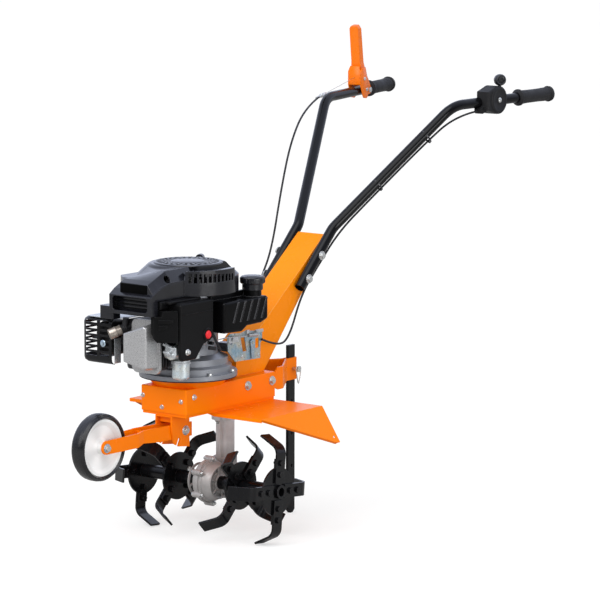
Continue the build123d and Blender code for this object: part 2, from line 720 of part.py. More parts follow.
with BuildPart() as oil_filler_plug:
    with BuildSketch(level(452, 27, -87)):
        RegularPolygon(17, 12)
    extrude(amount=14)
    with BuildSketch(level(430, 27, -87)):
        Circle(9 - RUN)
    extrude(amount=22)
oil_filler_plug.part.label = "oil_filler_plug"
export_step(oil_filler_plug.part, "parts/oil_filler_plug.step")

with BuildPart() as crankshaft:
    with BuildSketch(level(334, ENGINE_X)):
        Circle(CRANK_R)
    extrude(amount=454 - 334)
    with BuildSketch(level(514, ENGINE_X)):
        Circle(CRANK_R)
    extrude(amount=600 - 514)
    with BuildSketch(level(600, ENGINE_X)):
        Circle(CRANK_R - 2)
    extrude(amount=44)
    for web_z in (454, 500):
        with BuildSketch(level(web_z, ENGINE_X)):
            with BuildLine():
                Polyline(
                    (-46, -20), (-30, -40), (0, -22), (38, -14), (38, 14), (0, 22), (-30, 40), (-46, 20),
                    close=True,
                )
            make_face()
        extrude(amount=14)
    with BuildSketch(level(466, ENGINE_X + THROW)):
        Circle(12)
    extrude(amount=36)
crankshaft.part.label = "crankshaft"
export_step(crankshaft.part, "parts/crankshaft.step")

# Flywheel with fan vanes
FAN_R = 84.0
FAN_HIGH = 14.0
with BuildPart() as flywheel:
    with BuildSketch(level(602, ENGINE_X)):
        Circle(FAN_R)
    extrude(amount=12)
    with BuildSketch(level(614, ENGINE_X)):
        Circle(26)
        with PolarLocations(62, 12):
            Rectangle(34, 3)
    extrude(amount=FAN_HIGH)
    with BuildSketch(level(602, ENGINE_X)):
        Circle(CRANK_R - 2)
    extrude(amount=12 + FAN_HIGH, mode=Mode.SUBTRACT)
flywheel.part.label = "flywheel"
export_step(flywheel.part, "parts/flywheel.step")

# Cylinder head with fins and its two ports
PORT_X = 222.0
PLUG = Plane(origin=at(COVER_X, -36, 526), x_dir=(0, 1, 0), z_dir=(0.75, -0.55, -0.36))
PLUG_R = 6.0
with BuildPart() as cylinder_head:
    with BuildSketch(front(HEAD_X, 0, CYLINDER_Z)):
        RectangleRounded(92, 116, 8)
    extrude(amount=COVER_X - HEAD_X)
    for k in range(3):
        with BuildSketch(front(HEAD_X + 2 + FIN_PITCH * k, 0, CYLINDER_Z)):
            RectangleRounded(2 * FIN_HALF, 2 * FIN_HALF - 6, 8)
        extrude(amount=3)
    with BuildSketch(side(60, PORT_X, 470)):
        Circle(13)
    extrude(amount=20)
    with BuildSketch(side(-40, PORT_X, 490)):
        Circle(14)
    extrude(amount=30)
    with BuildSketch(front(HEAD_X, 0, CYLINDER_Z)):
        Circle(BORE_R)
    extrude(amount=6, mode=Mode.SUBTRACT)
    with BuildSketch(PLUG.offset(-8)):
        Circle(PLUG_R)
    extrude(amount=20, mode=Mode.SUBTRACT)
cylinder_head.part.label = "cylinder_head"
export_step(cylinder_head.part, "parts/cylinder_head.step")

# Pressed valve cover: flange and drafted dome, higher towards the left
COVER_FLANGE = (-27.0, 56.5, 421.0, 545.0)
FLANGE_THICK = 6.0
COVER_DEEP = 39.0
COVER_WALL = 4.0
COVER_FORM = ((-25, 446), (-25, 517), (40, 540), (50.5, 535), (50.5, 438), (42, 431))
with BuildPart() as valve_cover:
    with BuildSketch(front(COVER_X)):
        with Locations(((COVER_FLANGE[0] + COVER_FLANGE[1]) / 2, (COVER_FLANGE[2] + COVER_FLANGE[3]) / 2)):
            RectangleRounded(COVER_FLANGE[1] - COVER_FLANGE[0], COVER_FLANGE[3] - COVER_FLANGE[2], 16)
    extrude(amount=FLANGE_THICK)
    with BuildSketch(front(COVER_X + FLANGE_THICK)) as cover_form:
        with BuildLine():
            Polyline(*COVER_FORM, close=True)
        make_face()
        fillet(cover_form.vertices(), 6)
    extrude(amount=COVER_DEEP, taper=6)
    fillet(valve_cover.faces().sort_by(Axis.X)[-1].edges(), 5)
    with BuildSketch(front(COVER_X)) as cover_inside:
        with BuildLine():
            Polyline(*COVER_FORM, close=True)
        make_face()
        fillet(cover_inside.vertices(), 6)
        offset(amount=-COVER_WALL, mode=Mode.REPLACE)
    extrude(amount=COVER_DEEP, taper=6, mode=Mode.SUBTRACT)
valve_cover.part.label = "valve_cover"
export_step(valve_cover.part, "parts/valve_cover.step")

# Cap on the spark plug, at the head's far top corner, with the elbow of its lead
with BuildPart() as spark_plug_cap:
    with BuildSketch(PLUG.offset(-8)):
        Circle(PLUG_R)
    extrude(amount=30)
    with BuildSketch(PLUG.offset(10)):
        Circle(9)
    extrude(amount=41)
    with BuildSketch(Plane(origin=PLUG.offset(14).origin, x_dir=(1, 0, 0), z_dir=(0, 0.15, 0.98))):
        Circle(7)
    extrude(amount=24)
spark_plug_cap.part.label = "spark_plug_cap"
export_step(spark_plug_cap.part, "parts/spark_plug_cap.step")

# Muffler box and its slotted guard
MUFFLER = (163.0, 255.0, -148.0, -74.0, 446.0, 532.0)
with BuildPart() as muffler:
    with BuildSketch(level(MUFFLER[4], (MUFFLER[0] + MUFFLER[1]) / 2, (MUFFLER[2] + MUFFLER[3]) / 2)):
        RectangleRounded(MUFFLER[1] - MUFFLER[0], MUFFLER[3] - MUFFLER[2], 16)
    extrude(amount=MUFFLER[5] - MUFFLER[4])
    with BuildSketch(side(-70, PORT_X, 490)):
        RectangleRounded(50, 34, 8)
    extrude(amount=8)
    with BuildSketch(level(MUFFLER[4] - 4, (MUFFLER[0] + MUFFLER[1]) / 2, (MUFFLER[2] + MUFFLER[3]) / 2)):
        RectangleRounded(MUFFLER[1] - MUFFLER[0] - 4, MUFFLER[3] - MUFFLER[2] - 4, 14)
    extrude(amount=2, mode=Mode.SUBTRACT)
    offset(amount=-1.5, openings=muffler.faces().sort_by(Axis.Z)[0])
muffler.part.label = "muffler"
export_step(muffler.part, "parts/muffler.step")

GUARD_X = 265.0
GUARD_REAR = 158.0
GUARD_FAR = -166.0
GUARD_NEAR = -72.0
GUARD_LOW = 433.0
GUARD_HIGH = 540.0
GUARD_SHEET = 1.6
GUARD_CORNER = 20.0
GUARD_ROUND = 12.0
LIP_X = GUARD_X - GUARD_ROUND
LIP_FAR = GUARD_FAR + GUARD_ROUND


def guard_form(inset, open_by):
    with BuildPart() as form:
        with BuildSketch(level(GUARD_LOW + inset)) as plan:
            with BuildLine():
                Polyline(
                    (GUARD_REAR - open_by, GUARD_FAR + inset), (GUARD_X - inset, GUARD_FAR + inset),
                    (GUARD_X - inset, GUARD_NEAR + open_by), (GUARD_REAR - open_by, GUARD_NEAR + open_by),
                    close=True,
                )
            make_face()
            fillet(plan.vertices().sort_by(Axis.X)[-2:].sort_by(Axis.Y)[0], GUARD_CORNER - inset)
        extrude(amount=GUARD_HIGH - GUARD_LOW - 2 * inset)
        rims = form.faces().filter_by(Axis.Z).edges().filter_by(
            lambda e: e.center().X > AXLE_X + GUARD_REAR + 1 and e.center().Y < GUARD_NEAR - 1
        )
        fillet(rims, GUARD_ROUND - inset)
    return form.part


with BuildPart() as muffler_guard:
    add(guard_form(0.0, 0.0))
    add(guard_form(GUARD_SHEET, 5.0), mode=Mode.SUBTRACT)
    with BuildSketch(level(GUARD_LOW)):
        with BuildLine():
            Polyline(
                (GUARD_REAR - 1, LIP_FAR), (LIP_X - 6, LIP_FAR), (LIP_X, LIP_FAR + 6),
                (LIP_X, GUARD_NEAR + 1), (GUARD_REAR - 1, GUARD_NEAR + 1), close=True,
            )
        make_face()
    extrude(amount=GUARD_HIGH - GUARD_LOW, mode=Mode.SUBTRACT)
    with BuildSketch(front(200)):
        with Locations((-109, (GUARD_LOW + GUARD_HIGH) / 2)):
            with GridLocations(20, 12.5, 3, 6):
                Rectangle(14, 6)
    extrude(amount=100, mode=Mode.SUBTRACT)
    with BuildSketch(side(-120)):
        with Locations((204, (GUARD_LOW + GUARD_HIGH) / 2)):
            with GridLocations(20, 12.5, 4, 6):
                Rectangle(14, 6)
    extrude(amount=60, mode=Mode.SUBTRACT)
    with BuildSketch(level(490, 200, (GUARD_FAR + MUFFLER[2]) / 2)):
        Rectangle(20, MUFFLER[2] - GUARD_FAR)
    extrude(amount=10)
muffler_guard.part.label = "muffler_guard"
export_step(muffler_guard.part, "parts/muffler_guard.step")

# Air filter: flat base against the engine and a deep cover
FILTER_OUTLINE = ((235, 587), (235, 462), (228, 455), (180, 455), (152, 486), (117, 497), (117, 587))
BASE_FRONT = ((235.5, 57.5), (278, 57.5), (278, 66), (240, 104), (235.5, 104))
BASE_HEAD = ((235.5, 57.5), (264, 57.5), (264, 80), (240, 104), (235.5, 104))
BASE_CUT = ((57, 499), (57, 522), (72, 499))
with BuildPart() as air_filter_base:
    with BuildSketch(side(72)):
        with BuildLine():
            Polyline((233, 585), (233, 496), (119, 499), (119, 585), close=True)
        make_face()
    extrude(amount=12)
    with BuildSketch(front(230)):
        with BuildLine():
            Polyline((57.5, 572), (71.7, 572), (71.7, 500), (57.5, 522), close=True)
        make_face()
    extrude(amount=20)
    with BuildSketch(level(500)):
        with BuildLine():
            Polyline(*BASE_FRONT, close=True)
        make_face()
    extrude(amount=HOOD_LOW - 501)
    with BuildSketch(level(HOOD_LOW - 2)):
        with BuildLine():
            Polyline(*BASE_HEAD, close=True)
        make_face()
    extrude(amount=574 - HOOD_LOW)
    with BuildSketch(front(220)):
        with BuildLine():
            Polyline(*BASE_CUT, close=True)
        make_face()
    extrude(amount=80, mode=Mode.SUBTRACT)
air_filter_base.part.label = "air_filter_base"
export_step(air_filter_base.part, "parts/air_filter_base.step")

FILTER_FACE = 110.0
TONGUE = 8.0
with BuildPart() as air_filter_cover:
    with BuildSketch(side(FILTER_FACE)) as filter_face:
        with BuildLine():
            Polyline(*FILTER_OUTLINE, close=True)
        make_face()
        fillet(filter_face.vertices(), 6)
    extrude(amount=FILTER_FACE - 72)
    fillet(air_filter_cover.faces().sort_by(Axis.Y)[-1].edges(), 4)
    with BuildSketch(side(FILTER_FACE - TONGUE)):
        with BuildLine():
            Polyline((240, 498), (240, 440), (110, 440), (110, 498), close=True)
        make_face()
    extrude(amount=FILTER_FACE, mode=Mode.SUBTRACT)
    with BuildSketch(side(FILTER_FACE - 3)):
        with BuildLine():
            Polyline((231, 583), (231, 502), (121, 502), (121, 583), close=True)
        make_face()
    extrude(amount=FILTER_FACE, mode=Mode.SUBTRACT)
    with BuildSketch(side(112, 140, 507)):
        Circle(15)
    extrude(amount=20)
    with BuildSketch(side(113, 140, 507)):
        Circle(10)
    extrude(amount=14, mode=Mode.SUBTRACT)
air_filter_cover.part.label = "air_filter_cover"
export_step(air_filter_cover.part, "parts/air_filter_cover.step")

with BuildPart() as primer_button:
    with BuildSketch(side(107, 140, 507)):
        Circle(9.5)
    extrude(amount=-9)
    chamfer(primer_button.faces().sort_by(Axis.Y)[-1].edges(), 3)
primer_button.part.label = "primer_button"
export_step(primer_button.part, "parts/primer_button.step")

# Carburettor with bowl and inlet elbow
BOWL_LOW = 408.0
with BuildPart() as carburettor:
    with BuildSketch(side(96)):
        with BuildLine():
            Polyline((152, 488), (152, 452), (204, 452), (204, 484), (190, 488), close=True)
        make_face()
    extrude(amount=34)
    with BuildSketch(level(BOWL_LOW, 196, 77)):
        Circle(20)
    extrude(amount=44)
    fillet(carburettor.faces().sort_by(Axis.Z)[0].edges(), 6)
    with BuildSketch(front(204, 79, 470)):
        Circle(13)
    extrude(amount=PORT_X + 13 - 204)
    with BuildSketch(side(79, PORT_X, 470)):
        Circle(13)
    extrude(amount=19)
    with BuildSketch(level(480, 176, 67)):
        Rectangle(36, 10)
    extrude(amount=16)
carburettor.part.label = "carburettor"
export_step(carburettor.part, "parts/carburettor.step")

# Stamped plate that carries the throttle linkage
ARM_PIVOT = (-52.0, 462.0)
GOVERNOR_PLATE = (
    (38, 486), (27, 492), (-14, 489), (-29, 492), (-92, 486), (-92, 462), (-85, 457), (-85, 421), (9, 424),
    (35, 451),
)
with BuildPart() as governor_plate:
    with BuildSketch(side(86)):
        with BuildLine():
            Polyline(*GOVERNOR_PLATE, close=True)
        make_face()
        with BuildLine():
            Polyline((-11, 478), (-19, 444), (-34, 444), (-26, 478), close=True)
        make_face(mode=Mode.SUBTRACT)
        with Locations((-73, 458)):
            RectangleRounded(14, 24, 4, mode=Mode.SUBTRACT)
        with Locations((24, 472)):
            Circle(6, mode=Mode.SUBTRACT)
    extrude(amount=2)
    with BuildSketch(side(84 + 8, *ARM_PIVOT)):
        Circle(3)
    extrude(amount=8)
governor_plate.part.label = "governor_plate"
export_step(governor_plate.part, "parts/governor_plate.step")

with BuildPart() as throttle_arm:
    with BuildSketch(side(88.4, *ARM_PIVOT)):
        with BuildLine():
            Polyline((-7, 0), (7, 0), (4, -34), (-4, -34), close=True)
        make_face()
        Circle(8)
        with Locations((0, -34)):
            Circle(4)
        Circle(3 + RUN, mode=Mode.SUBTRACT)
    extrude(amount=-2)
throttle_arm.part.label = "throttle_arm"
export_step(throttle_arm.part, "parts/throttle_arm.step")

# Fuel tank, deeper at the front, with slanted ribs on its face
TANK_IN = 74.0
TANK_OUT = 122.0
CAP_X = -42.0
CAP_Y = 97.0
TANK_OUTLINE = ((94, 575), (94, 503), (26, 501), (7, 512), (-46, 513), (-70, 521), (-70, 575))
TANK_INSIDE = ((91, 572), (91, 506), (27, 504), (8, 515), (-45, 516), (-67, 523), (-67, 572))
RIB_PITCH = 26.0
TANK_FLANGE = 589.0
with BuildPart() as fuel_tank:
    with BuildSketch(side(TANK_OUT)) as tank_face:
        with BuildLine():
            Polyline(*TANK_OUTLINE, close=True)
        make_face()
        fillet(tank_face.vertices(), 7)
    extrude(amount=TANK_OUT - TANK_IN)
    fillet(fuel_tank.faces().sort_by(Axis.Y)[-1].edges(), 6)
    with BuildSketch(side(TANK_IN + 6)):
        with BuildLine():
            Polyline(
                (90, 560), (90, SHROUD_BOTTOM), (20, SHROUD_BOTTOM), (20, TANK_FLANGE), (-66, TANK_FLANGE),
                (-66, 560), close=True,
            )
        make_face()
    extrude(amount=6)
    with BuildSketch(level(560, CAP_X, CAP_Y)):
        Circle(21)
    extrude(amount=40)
    with BuildSketch(side(TANK_OUT + 2)):
        for k in range(5):
            rib_x = 43.5 - RIB_PITCH * k
            with BuildLine():
                Polyline((rib_x, 571), (rib_x - 5, 571), (rib_x + 14, 525), (rib_x + 19, 525), close=True)
            make_face()
    extrude(amount=6)
    with BuildSketch(side(TANK_OUT - 3)):
        with BuildLine():
            Polyline(*TANK_INSIDE, close=True)
        make_face()
    extrude(amount=TANK_OUT - TANK_IN - 6, mode=Mode.SUBTRACT)
    with BuildSketch(level(565, CAP_X, CAP_Y)):
        Circle(17)
    extrude(amount=40, mode=Mode.SUBTRACT)
fuel_tank.part.label = "fuel_tank"
export_step(fuel_tank.part, "parts/fuel_tank.step")

with BuildPart() as fuel_cap:
    with BuildSketch(level(604, CAP_X, CAP_Y)):
        Circle(29)
    extrude(amount=18)
    fillet(fuel_cap.faces().sort_by(Axis.Z)[-1].edges(), 6)
    fillet(fuel_cap.faces().sort_by(Axis.Z)[0].edges(), 3)
    with BuildSketch(level(590, CAP_X, CAP_Y)):
        Circle(24.5)
    extrude(amount=14)
    with BuildSketch(level(590, CAP_X, CAP_Y)):
        Circle(21 + RUN)
    extrude(amount=12, mode=Mode.SUBTRACT)
fuel_cap.part.label = "fuel_cap"
export_step(fuel_cap.part, "parts/fuel_cap.step")

PULL_OUT = Vector(-118, -60, 0).normalized()
PULL_Z = 634.0
ROPE_R = 2.5
PULL_PLANE = Plane(origin=at(ENGINE_X, 0, PULL_Z), x_dir=(-PULL_OUT.Y, PULL_OUT.X, 0), z_dir=PULL_OUT)

# Blower housing: a round band under a low dome, a nose over the cylinder and a vented rim on the left
DOME_PROFILE = ((SHROUD_R, SHROUD_RIM), (92.0, 656.0), (88.0, 658.0), (0.0, SHROUD_TOP))
HOOD_REAR = 266.0
TRENCH_PLAN = ((300, 53), (-30, 53), (-30, 140), (300, 140))
TRENCH_Z = 640.0
SLOPE = ((198, 640), (214, 633), (245, 625), (270, 615), (292, 602))
# Each nose section: ahead, far edge and its height, crease and its height, near foot and its height
NOSE_SECTIONS = (
    (140, -62, 655, 53, 658, 70, 630), (193, -36, 647, 53, 657.5, 69.5, 629),
    (223, -33, 640, 53, 657, 69.2, 626), (246, -33, 638.5, 51, 646, 68.5, 618),
    (262, -32, 637, 50, 638.5, 68, 613), (279, -32, 631, 48, 630, 67, 606),
)
RIM_INNER = 104.0
RIM_TOP = 652.0
RIM_START = 36.8
RIM_SWEEP = 69.0
VENTS = 11
VENT_FIRST = 42.3
VENT_PITCH = 5.77
VENT_WIDE = 7.6
VENT_LOW = 624.5
VENT_HIGH = (22.5, 15.5)
HOLE = (225.5, 639.0, 8.5)


def shroud_plan(inset):
    hood_end = HOOD_X - ENGINE_X - inset
    with BuildSketch() as plan:
        Circle(SHROUD_R - inset)
        with BuildLine():
            Polyline(
                (0, HOOD_NEAR + 3 - inset), (hood_end, HOOD_NEAR - inset), (hood_end, HOOD_FAR + inset),
                (160, HOOD_FAR - 5 + inset), (116, inset - SHROUD_SIDE), (0, inset - SHROUD_SIDE),
                close=True,
            )
        make_face()
    return plan.sketch


def nose_form(inset):
    with BuildPart() as nose:
        for ahead, far, far_z, crease, crease_z, foot, foot_z in NOSE_SECTIONS:
            tip = inset if ahead == NOSE_SECTIONS[-1][0] else 0.0
            with BuildSketch(front(ahead - tip)):
                with BuildLine():
                    Polyline(
                        (far + inset, SHROUD_BOTTOM + 2 * SHROUD_WALL), (far + inset, far_z - inset),
                        (crease - inset, crease_z - inset), (foot - inset, foot_z - inset),
                        (foot - inset, SHROUD_BOTTOM + 2 * SHROUD_WALL), close=True,
                    )
                make_face()
        loft(ruled=True)
    return nose.part


def rim_form(inset):
    ease = degrees(inset / SHROUD_R)
    first = RIM_START + ease
    last = RIM_START + RIM_SWEEP - ease
    with BuildPart() as rim:
        with BuildSketch(level(SHROUD_RIM - 10, ENGINE_X)):
            with BuildLine():
                outside = CenterArc((0, 0), SHROUD_R - inset, first, last - first)
                inside = CenterArc((0, 0), RIM_INNER + inset, first, last - first)
                Line(outside @ 0, inside @ 0)
                Line(outside @ 1, inside @ 1)
            make_face()
        extrude(amount=RIM_TOP - SHROUD_RIM + 10 - inset)
    return rim.part


def shroud_form(inset):
    with BuildPart() as form:
        with BuildSketch(level(SHROUD_BOTTOM + inset, ENGINE_X)):
            add(shroud_plan(inset))
        extrude(amount=SHROUD_RIM - SHROUD_BOTTOM - 2 * inset)
        with BuildSketch(side()):
            with BuildLine():
                Polyline(*[(x, z - inset) for x, z in SLOPE], (292, 700), (198, 700), close=True)
            make_face()
        extrude(amount=2 * SHROUD_R, both=True, mode=Mode.SUBTRACT)
        with BuildSketch(side(0, ENGINE_X)):
            with BuildLine():
                Polyline(
                    (0, SHROUD_BOTTOM + inset), (SHROUD_R - inset, SHROUD_BOTTOM + inset),
                    *[(max(r - inset, 0), z - inset) for r, z in DOME_PROFILE], close=True,
                )
            make_face()
        revolve(axis=upright(ENGINE_X))
        with BuildSketch(level(TRENCH_Z - inset)):
            with BuildLine():
                Polyline(*[(x, y - inset) for x, y in TRENCH_PLAN], close=True)
            make_face()
        extrude(amount=100, mode=Mode.SUBTRACT)
        add(nose_form(inset))
        add(rim_form(inset))
        with BuildSketch(level(HOOD_LOW + inset)):
            with BuildLine():
                Polyline(
                    (HOOD_REAR + inset, HOOD_FAR + inset), (HOOD_X - inset, HOOD_FAR + inset),
                    (HOOD_X - inset, HOOD_NEAR - inset), (HOOD_REAR + inset, HOOD_NEAR - inset), close=True,
                )
            make_face()
        extrude(amount=SHROUD_BOTTOM - HOOD_LOW + 4)
    return form.part


with BuildPart() as blower_housing:
    add(shroud_form(0.0))
    add(shroud_form(SHROUD_WALL), mode=Mode.SUBTRACT)
    with BuildSketch(level(SHROUD_BOTTOM, ENGINE_X)):
        Circle(64)
    extrude(amount=SHROUD_WALL, mode=Mode.SUBTRACT)
    with BuildSketch(front(HOOD_X - 10, 5, 584.5)):
        RectangleRounded(104, 33, 8)
    extrude(amount=20, mode=Mode.SUBTRACT)
    with BuildSketch(front(HOOD_X - 20, 8, 622)):
        RectangleRounded(68, 10, 3)
    extrude(amount=20, mode=Mode.SUBTRACT)
    for k in range(VENTS):
        turn = radians(VENT_FIRST + VENT_PITCH * k)
        vent_high = VENT_HIGH[0] + (VENT_HIGH[1] - VENT_HIGH[0]) * k / (VENTS - 1)
        vent_plane = Plane(
            origin=at(ENGINE_X, 0, VENT_LOW + vent_high / 2), x_dir=(-sin(turn), cos(turn), 0),
            z_dir=(cos(turn), sin(turn), 0),
        )
        with BuildSketch(vent_plane.offset(SHROUD_R - SHROUD_WALL - 4)):
            Rectangle(VENT_WIDE, vent_high)
        extrude(amount=20, mode=Mode.SUBTRACT)
    with BuildSketch(side(HOOD_NEAR + 10, HOLE[0], HOLE[1])):
        Circle(HOLE[2])
    extrude(amount=24, mode=Mode.SUBTRACT)
    with BuildSketch(level(HOOD_LOW - 17, HOOD_REAR - 1, -75)):
        RectangleRounded(30, 40, 5)
    extrude(amount=30)
    with BuildSketch(PULL_PLANE.offset(80)):
        Circle(ROPE_R + 0.6)
    extrude(amount=40, mode=Mode.SUBTRACT)
blower_housing.part.label = "blower_housing"
export_step(blower_housing.part, "parts/blower_housing.step")

# Pull handle of the starter with the start of its rope, drawn through an eye in the housing
with BuildPart() as starter_handle:
    with BuildSketch(PULL_PLANE.offset(124)):
        RectangleRounded(18, 52, 8)
    extrude(amount=20)
    outer_face = starter_handle.faces().sort_by(Axis(PULL_PLANE.origin, PULL_OUT))[-1]
    chamfer(outer_face.edges(), 3)
    with BuildSketch(PULL_PLANE.offset(46)):
        Circle(ROPE_R)
    extrude(amount=79)
starter_handle.part.label = "starter_handle"
export_step(starter_handle.part, "parts/starter_handle.step")


# Grooved pulleys, the slack belt between them and the idler that tightens it
def pulley_profile(radius, bore):
    middle = (PULLEY_LOW + PULLEY_HIGH) / 2
    return (
        (bore, PULLEY_LOW), (radius, PULLEY_LOW), (radius, middle - 6), (radius - 11, middle - 5),
        (radius - 11, middle + 5), (radius, middle + 6), (radius, PULLEY_HIGH), (bore, PULLEY_HIGH),
    )


with BuildPart() as engine_pulley:
    with BuildSketch(side(0, ENGINE_X)):
        with BuildLine():
            Polyline(*pulley_profile(ENGINE_PULLEY_R, CRANK_R), close=True)
        make_face()
    revolve(axis=upright(ENGINE_X))
engine_pulley.part.label = "engine_pulley"
export_step(engine_pulley.part, "parts/engine_pulley.step")

with BuildPart() as input_pulley:
    with BuildSketch(side(0, GEAR_X)):
        with BuildLine():
            Polyline(*pulley_profile(INPUT_PULLEY_R, WORM_R), close=True)
        make_face()
    revolve(axis=upright(GEAR_X))
input_pulley.part.label = "input_pulley"
export_step(input_pulley.part, "parts/input_pulley.step")

BELT_THICK = 9.0
with BuildPart() as drive_belt:
    with BuildSketch(level(BELT_LOW)) as belt_loop:
        with Locations((ENGINE_X, 0)):
            Circle(ENGINE_PULLEY_R + 1)
        with Locations((GEAR_X, 0)):
            Circle(INPUT_PULLEY_R + 1)
        make_hull()
        offset(amount=-BELT_THICK, mode=Mode.SUBTRACT)
    extrude(amount=BELT_HIGH - BELT_LOW)
drive_belt.part.label = "drive_belt"
export_step(drive_belt.part, "parts/drive_belt.step")

with BuildPart() as idler_arm:
    with BuildSketch(level(360)):
        with Locations(IDLER_PIVOT, IDLER):
            Circle(8)
        make_hull()
        with Locations(IDLER_PIVOT):
            Circle(5 + RUN, mode=Mode.SUBTRACT)
    extrude(amount=3)
    with BuildSketch(level(343)):
        with Locations(IDLER):
            Circle(HALF_BOLT)
    extrude(amount=17)
idler_arm.part.label = "idler_arm"
export_step(idler_arm.part, "parts/idler_arm.step")

with BuildPart() as idler_pulley:
    with BuildSketch(level(344)):
        with Locations(IDLER):
            Circle(IDLER_R)
            Circle(HALF_BOLT + RUN, mode=Mode.SUBTRACT)
    extrude(amount=13)
idler_pulley.part.label = "idler_pulley"
export_step(idler_pulley.part, "parts/idler_pulley.step")

# Worm shaft and the toothed wheel that it drives
WHEEL_PITCH_R = MODULE * TEETH / 2
WORM_ROOT = WORM_PITCH_R - 1.2 * MODULE
TOOTH_TIP = WHEEL_PITCH_R + 2.6
TOOTH_ROOT = WHEEL_PITCH_R - 2.8
GEAR_HALF = 7.0
with BuildPart() as worm_shaft:
    with BuildSketch(level(92.5, GEAR_X)):
        Circle(WORM_R)
    extrude(amount=366 - 92.5)
    with BuildSketch(level(107, GEAR_X)):
        Circle(WORM_ROOT)
    extrude(amount=46)
worm_shaft.part.label = "worm_shaft"
export_step(worm_shaft.part, "parts/worm_shaft.step")

with BuildPart() as worm_wheel:
    with BuildSketch(side(GEAR_HALF, 0, AXLE_Z)):
        Circle(TOOTH_ROOT)
        with PolarLocations(0, TEETH):
            Polygon((TOOTH_ROOT - 2, -2), (TOOTH_TIP, -1), (TOOTH_TIP, 1), (TOOTH_ROOT - 2, 2), align=None)
        Circle(SHAFT_R, mode=Mode.SUBTRACT)
    extrude(amount=2 * GEAR_HALF)
worm_wheel.part.label = "worm_wheel"
export_step(worm_wheel.part, "parts/worm_wheel.step")

# Shaft through the gearbox, drilled for the hitch pins
PIN_HOLE = 3.0
with BuildPart() as tine_shaft:
    with BuildSketch(side(SHAFT_HALF, 0, AXLE_Z)):
        Circle(SHAFT_R)
    extrude(amount=2 * SHAFT_HALF)
    with BuildSketch(level(AXLE_Z)):
        with Locations((0, HITCH_Y), (0, -HITCH_Y)):
            Circle(PIN_HOLE)
    extrude(amount=2 * SHAFT_R, both=True, mode=Mode.SUBTRACT)
tine_shaft.part.label = "tine_shaft"
export_step(tine_shaft.part, "parts/tine_shaft.step")

# Cast gearbox, made whole and then parted down the middle
DRUM_PROFILE = (
    (33, 26), (29.5, 26), (29.5, 35), (33, 36), (33, 40), (22, 44), (13, 47), (13, 49), (5, 49), (5, 52),
    (-5, 52), (-5, 49), (-10.5, 49), (-26.5, 26), (-32, 24),
)
CAVITY_PROFILE = (
    (33, 10.5), (26, 10.5), (26, 21), (8.5, 21), (8.5, 46), (-8.5, 46), (-8.5, 21), (-26, 21), (-26, 10.5),
    (-32, 10.5),
)
STEM_CAVITY = (
    (0, 90), (15, 90), (15, 103), (22.5, 103), (22.5, 158), (12, 158), (12, 284), (15, 284), (15, 297),
    (12, 297), (12, 310), (0, 310),
)
LUGS = 6
with BuildPart() as gearbox:
    with BuildSketch(front(0, 0, AXLE_Z)):
        with BuildLine():
            Polyline((33, 0), *DRUM_PROFILE, (-32, 0), close=True)
        make_face()
    revolve(axis=crosswise(0, AXLE_Z))
    with BuildSketch(side(32, 0, AXLE_Z)):
        with PolarLocations(31, LUGS):
            Rectangle(16, 4)
    extrude(amount=32)
    with BuildSketch(side(13, 0, AXLE_Z)):
        with PolarLocations(53, LUGS, start_angle=30):
            Circle(7)
    extrude(amount=23)
    with BuildSketch(level(84, GEAR_X)):
        Circle(28)
    extrude(amount=96)
    with BuildSketch(level(120, GEAR_X)):
        RectangleRounded(36, 36, 8)
        Rectangle(54, 12)
    extrude(amount=178)
    with BuildSketch(level(298, GEAR_X)):
        RectangleRounded(84, 70, 12)
    extrude(amount=12)
    with BuildSketch(front(0, 0, AXLE_Z)):
        with BuildLine():
            Polyline((33, 0), *CAVITY_PROFILE, (-32, 0), close=True)
        make_face()
    revolve(axis=crosswise(0, AXLE_Z), mode=Mode.SUBTRACT)
    with BuildSketch(side(0, GEAR_X)):
        with BuildLine():
            Polyline(*STEM_CAVITY, close=True)
        make_face()
    revolve(axis=upright(GEAR_X), mode=Mode.SUBTRACT)

with BuildPart() as gearbox_left_half:
    add(gearbox.part)
    split(bisect_by=Plane.XZ, keep=Keep.BOTTOM)
gearbox_left_half.part.label = "gearbox_left_half"
export_step(gearbox_left_half.part, "parts/gearbox_left_half.step")

with BuildPart() as gearbox_right_half:
    add(gearbox.part)
    split(bisect_by=Plane.XZ, keep=Keep.TOP)
gearbox_right_half.part.label = "gearbox_right_half"
export_step(gearbox_right_half.part, "parts/gearbox_right_half.step")

with BuildPart() as gearbox_bearings:
    for bearing_z in (92, 285):
        with BuildSketch(level(bearing_z, GEAR_X)):
            Circle(15)
            Circle(WORM_R + RUN, mode=Mode.SUBTRACT)
        extrude(amount=10)
    for bearing_y in (26, -16):
        with BuildSketch(side(bearing_y, 0, AXLE_Z)):
            Circle(21)
            Circle(SHAFT_R + RUN, mode=Mode.SUBTRACT)
        extrude(amount=10)
gearbox_bearings.part.label = "gearbox_bearings"
export_step(gearbox_bearings.part, "parts/gearbox_bearings.step")


# Tines: tube with two welded plates, four bent blades bolted to each plate
def tine_plane(phase):
    turn = radians(phase)
    return Plane(origin=at(0, 0, AXLE_Z), x_dir=(0, 1, 0), z_dir=(cos(turn), 0, -sin(turn)))


def bolt_places(phases, radii):
    return [(r * sin(radians(a)), r * cos(radians(a)), -a) for a in phases for r in radii]


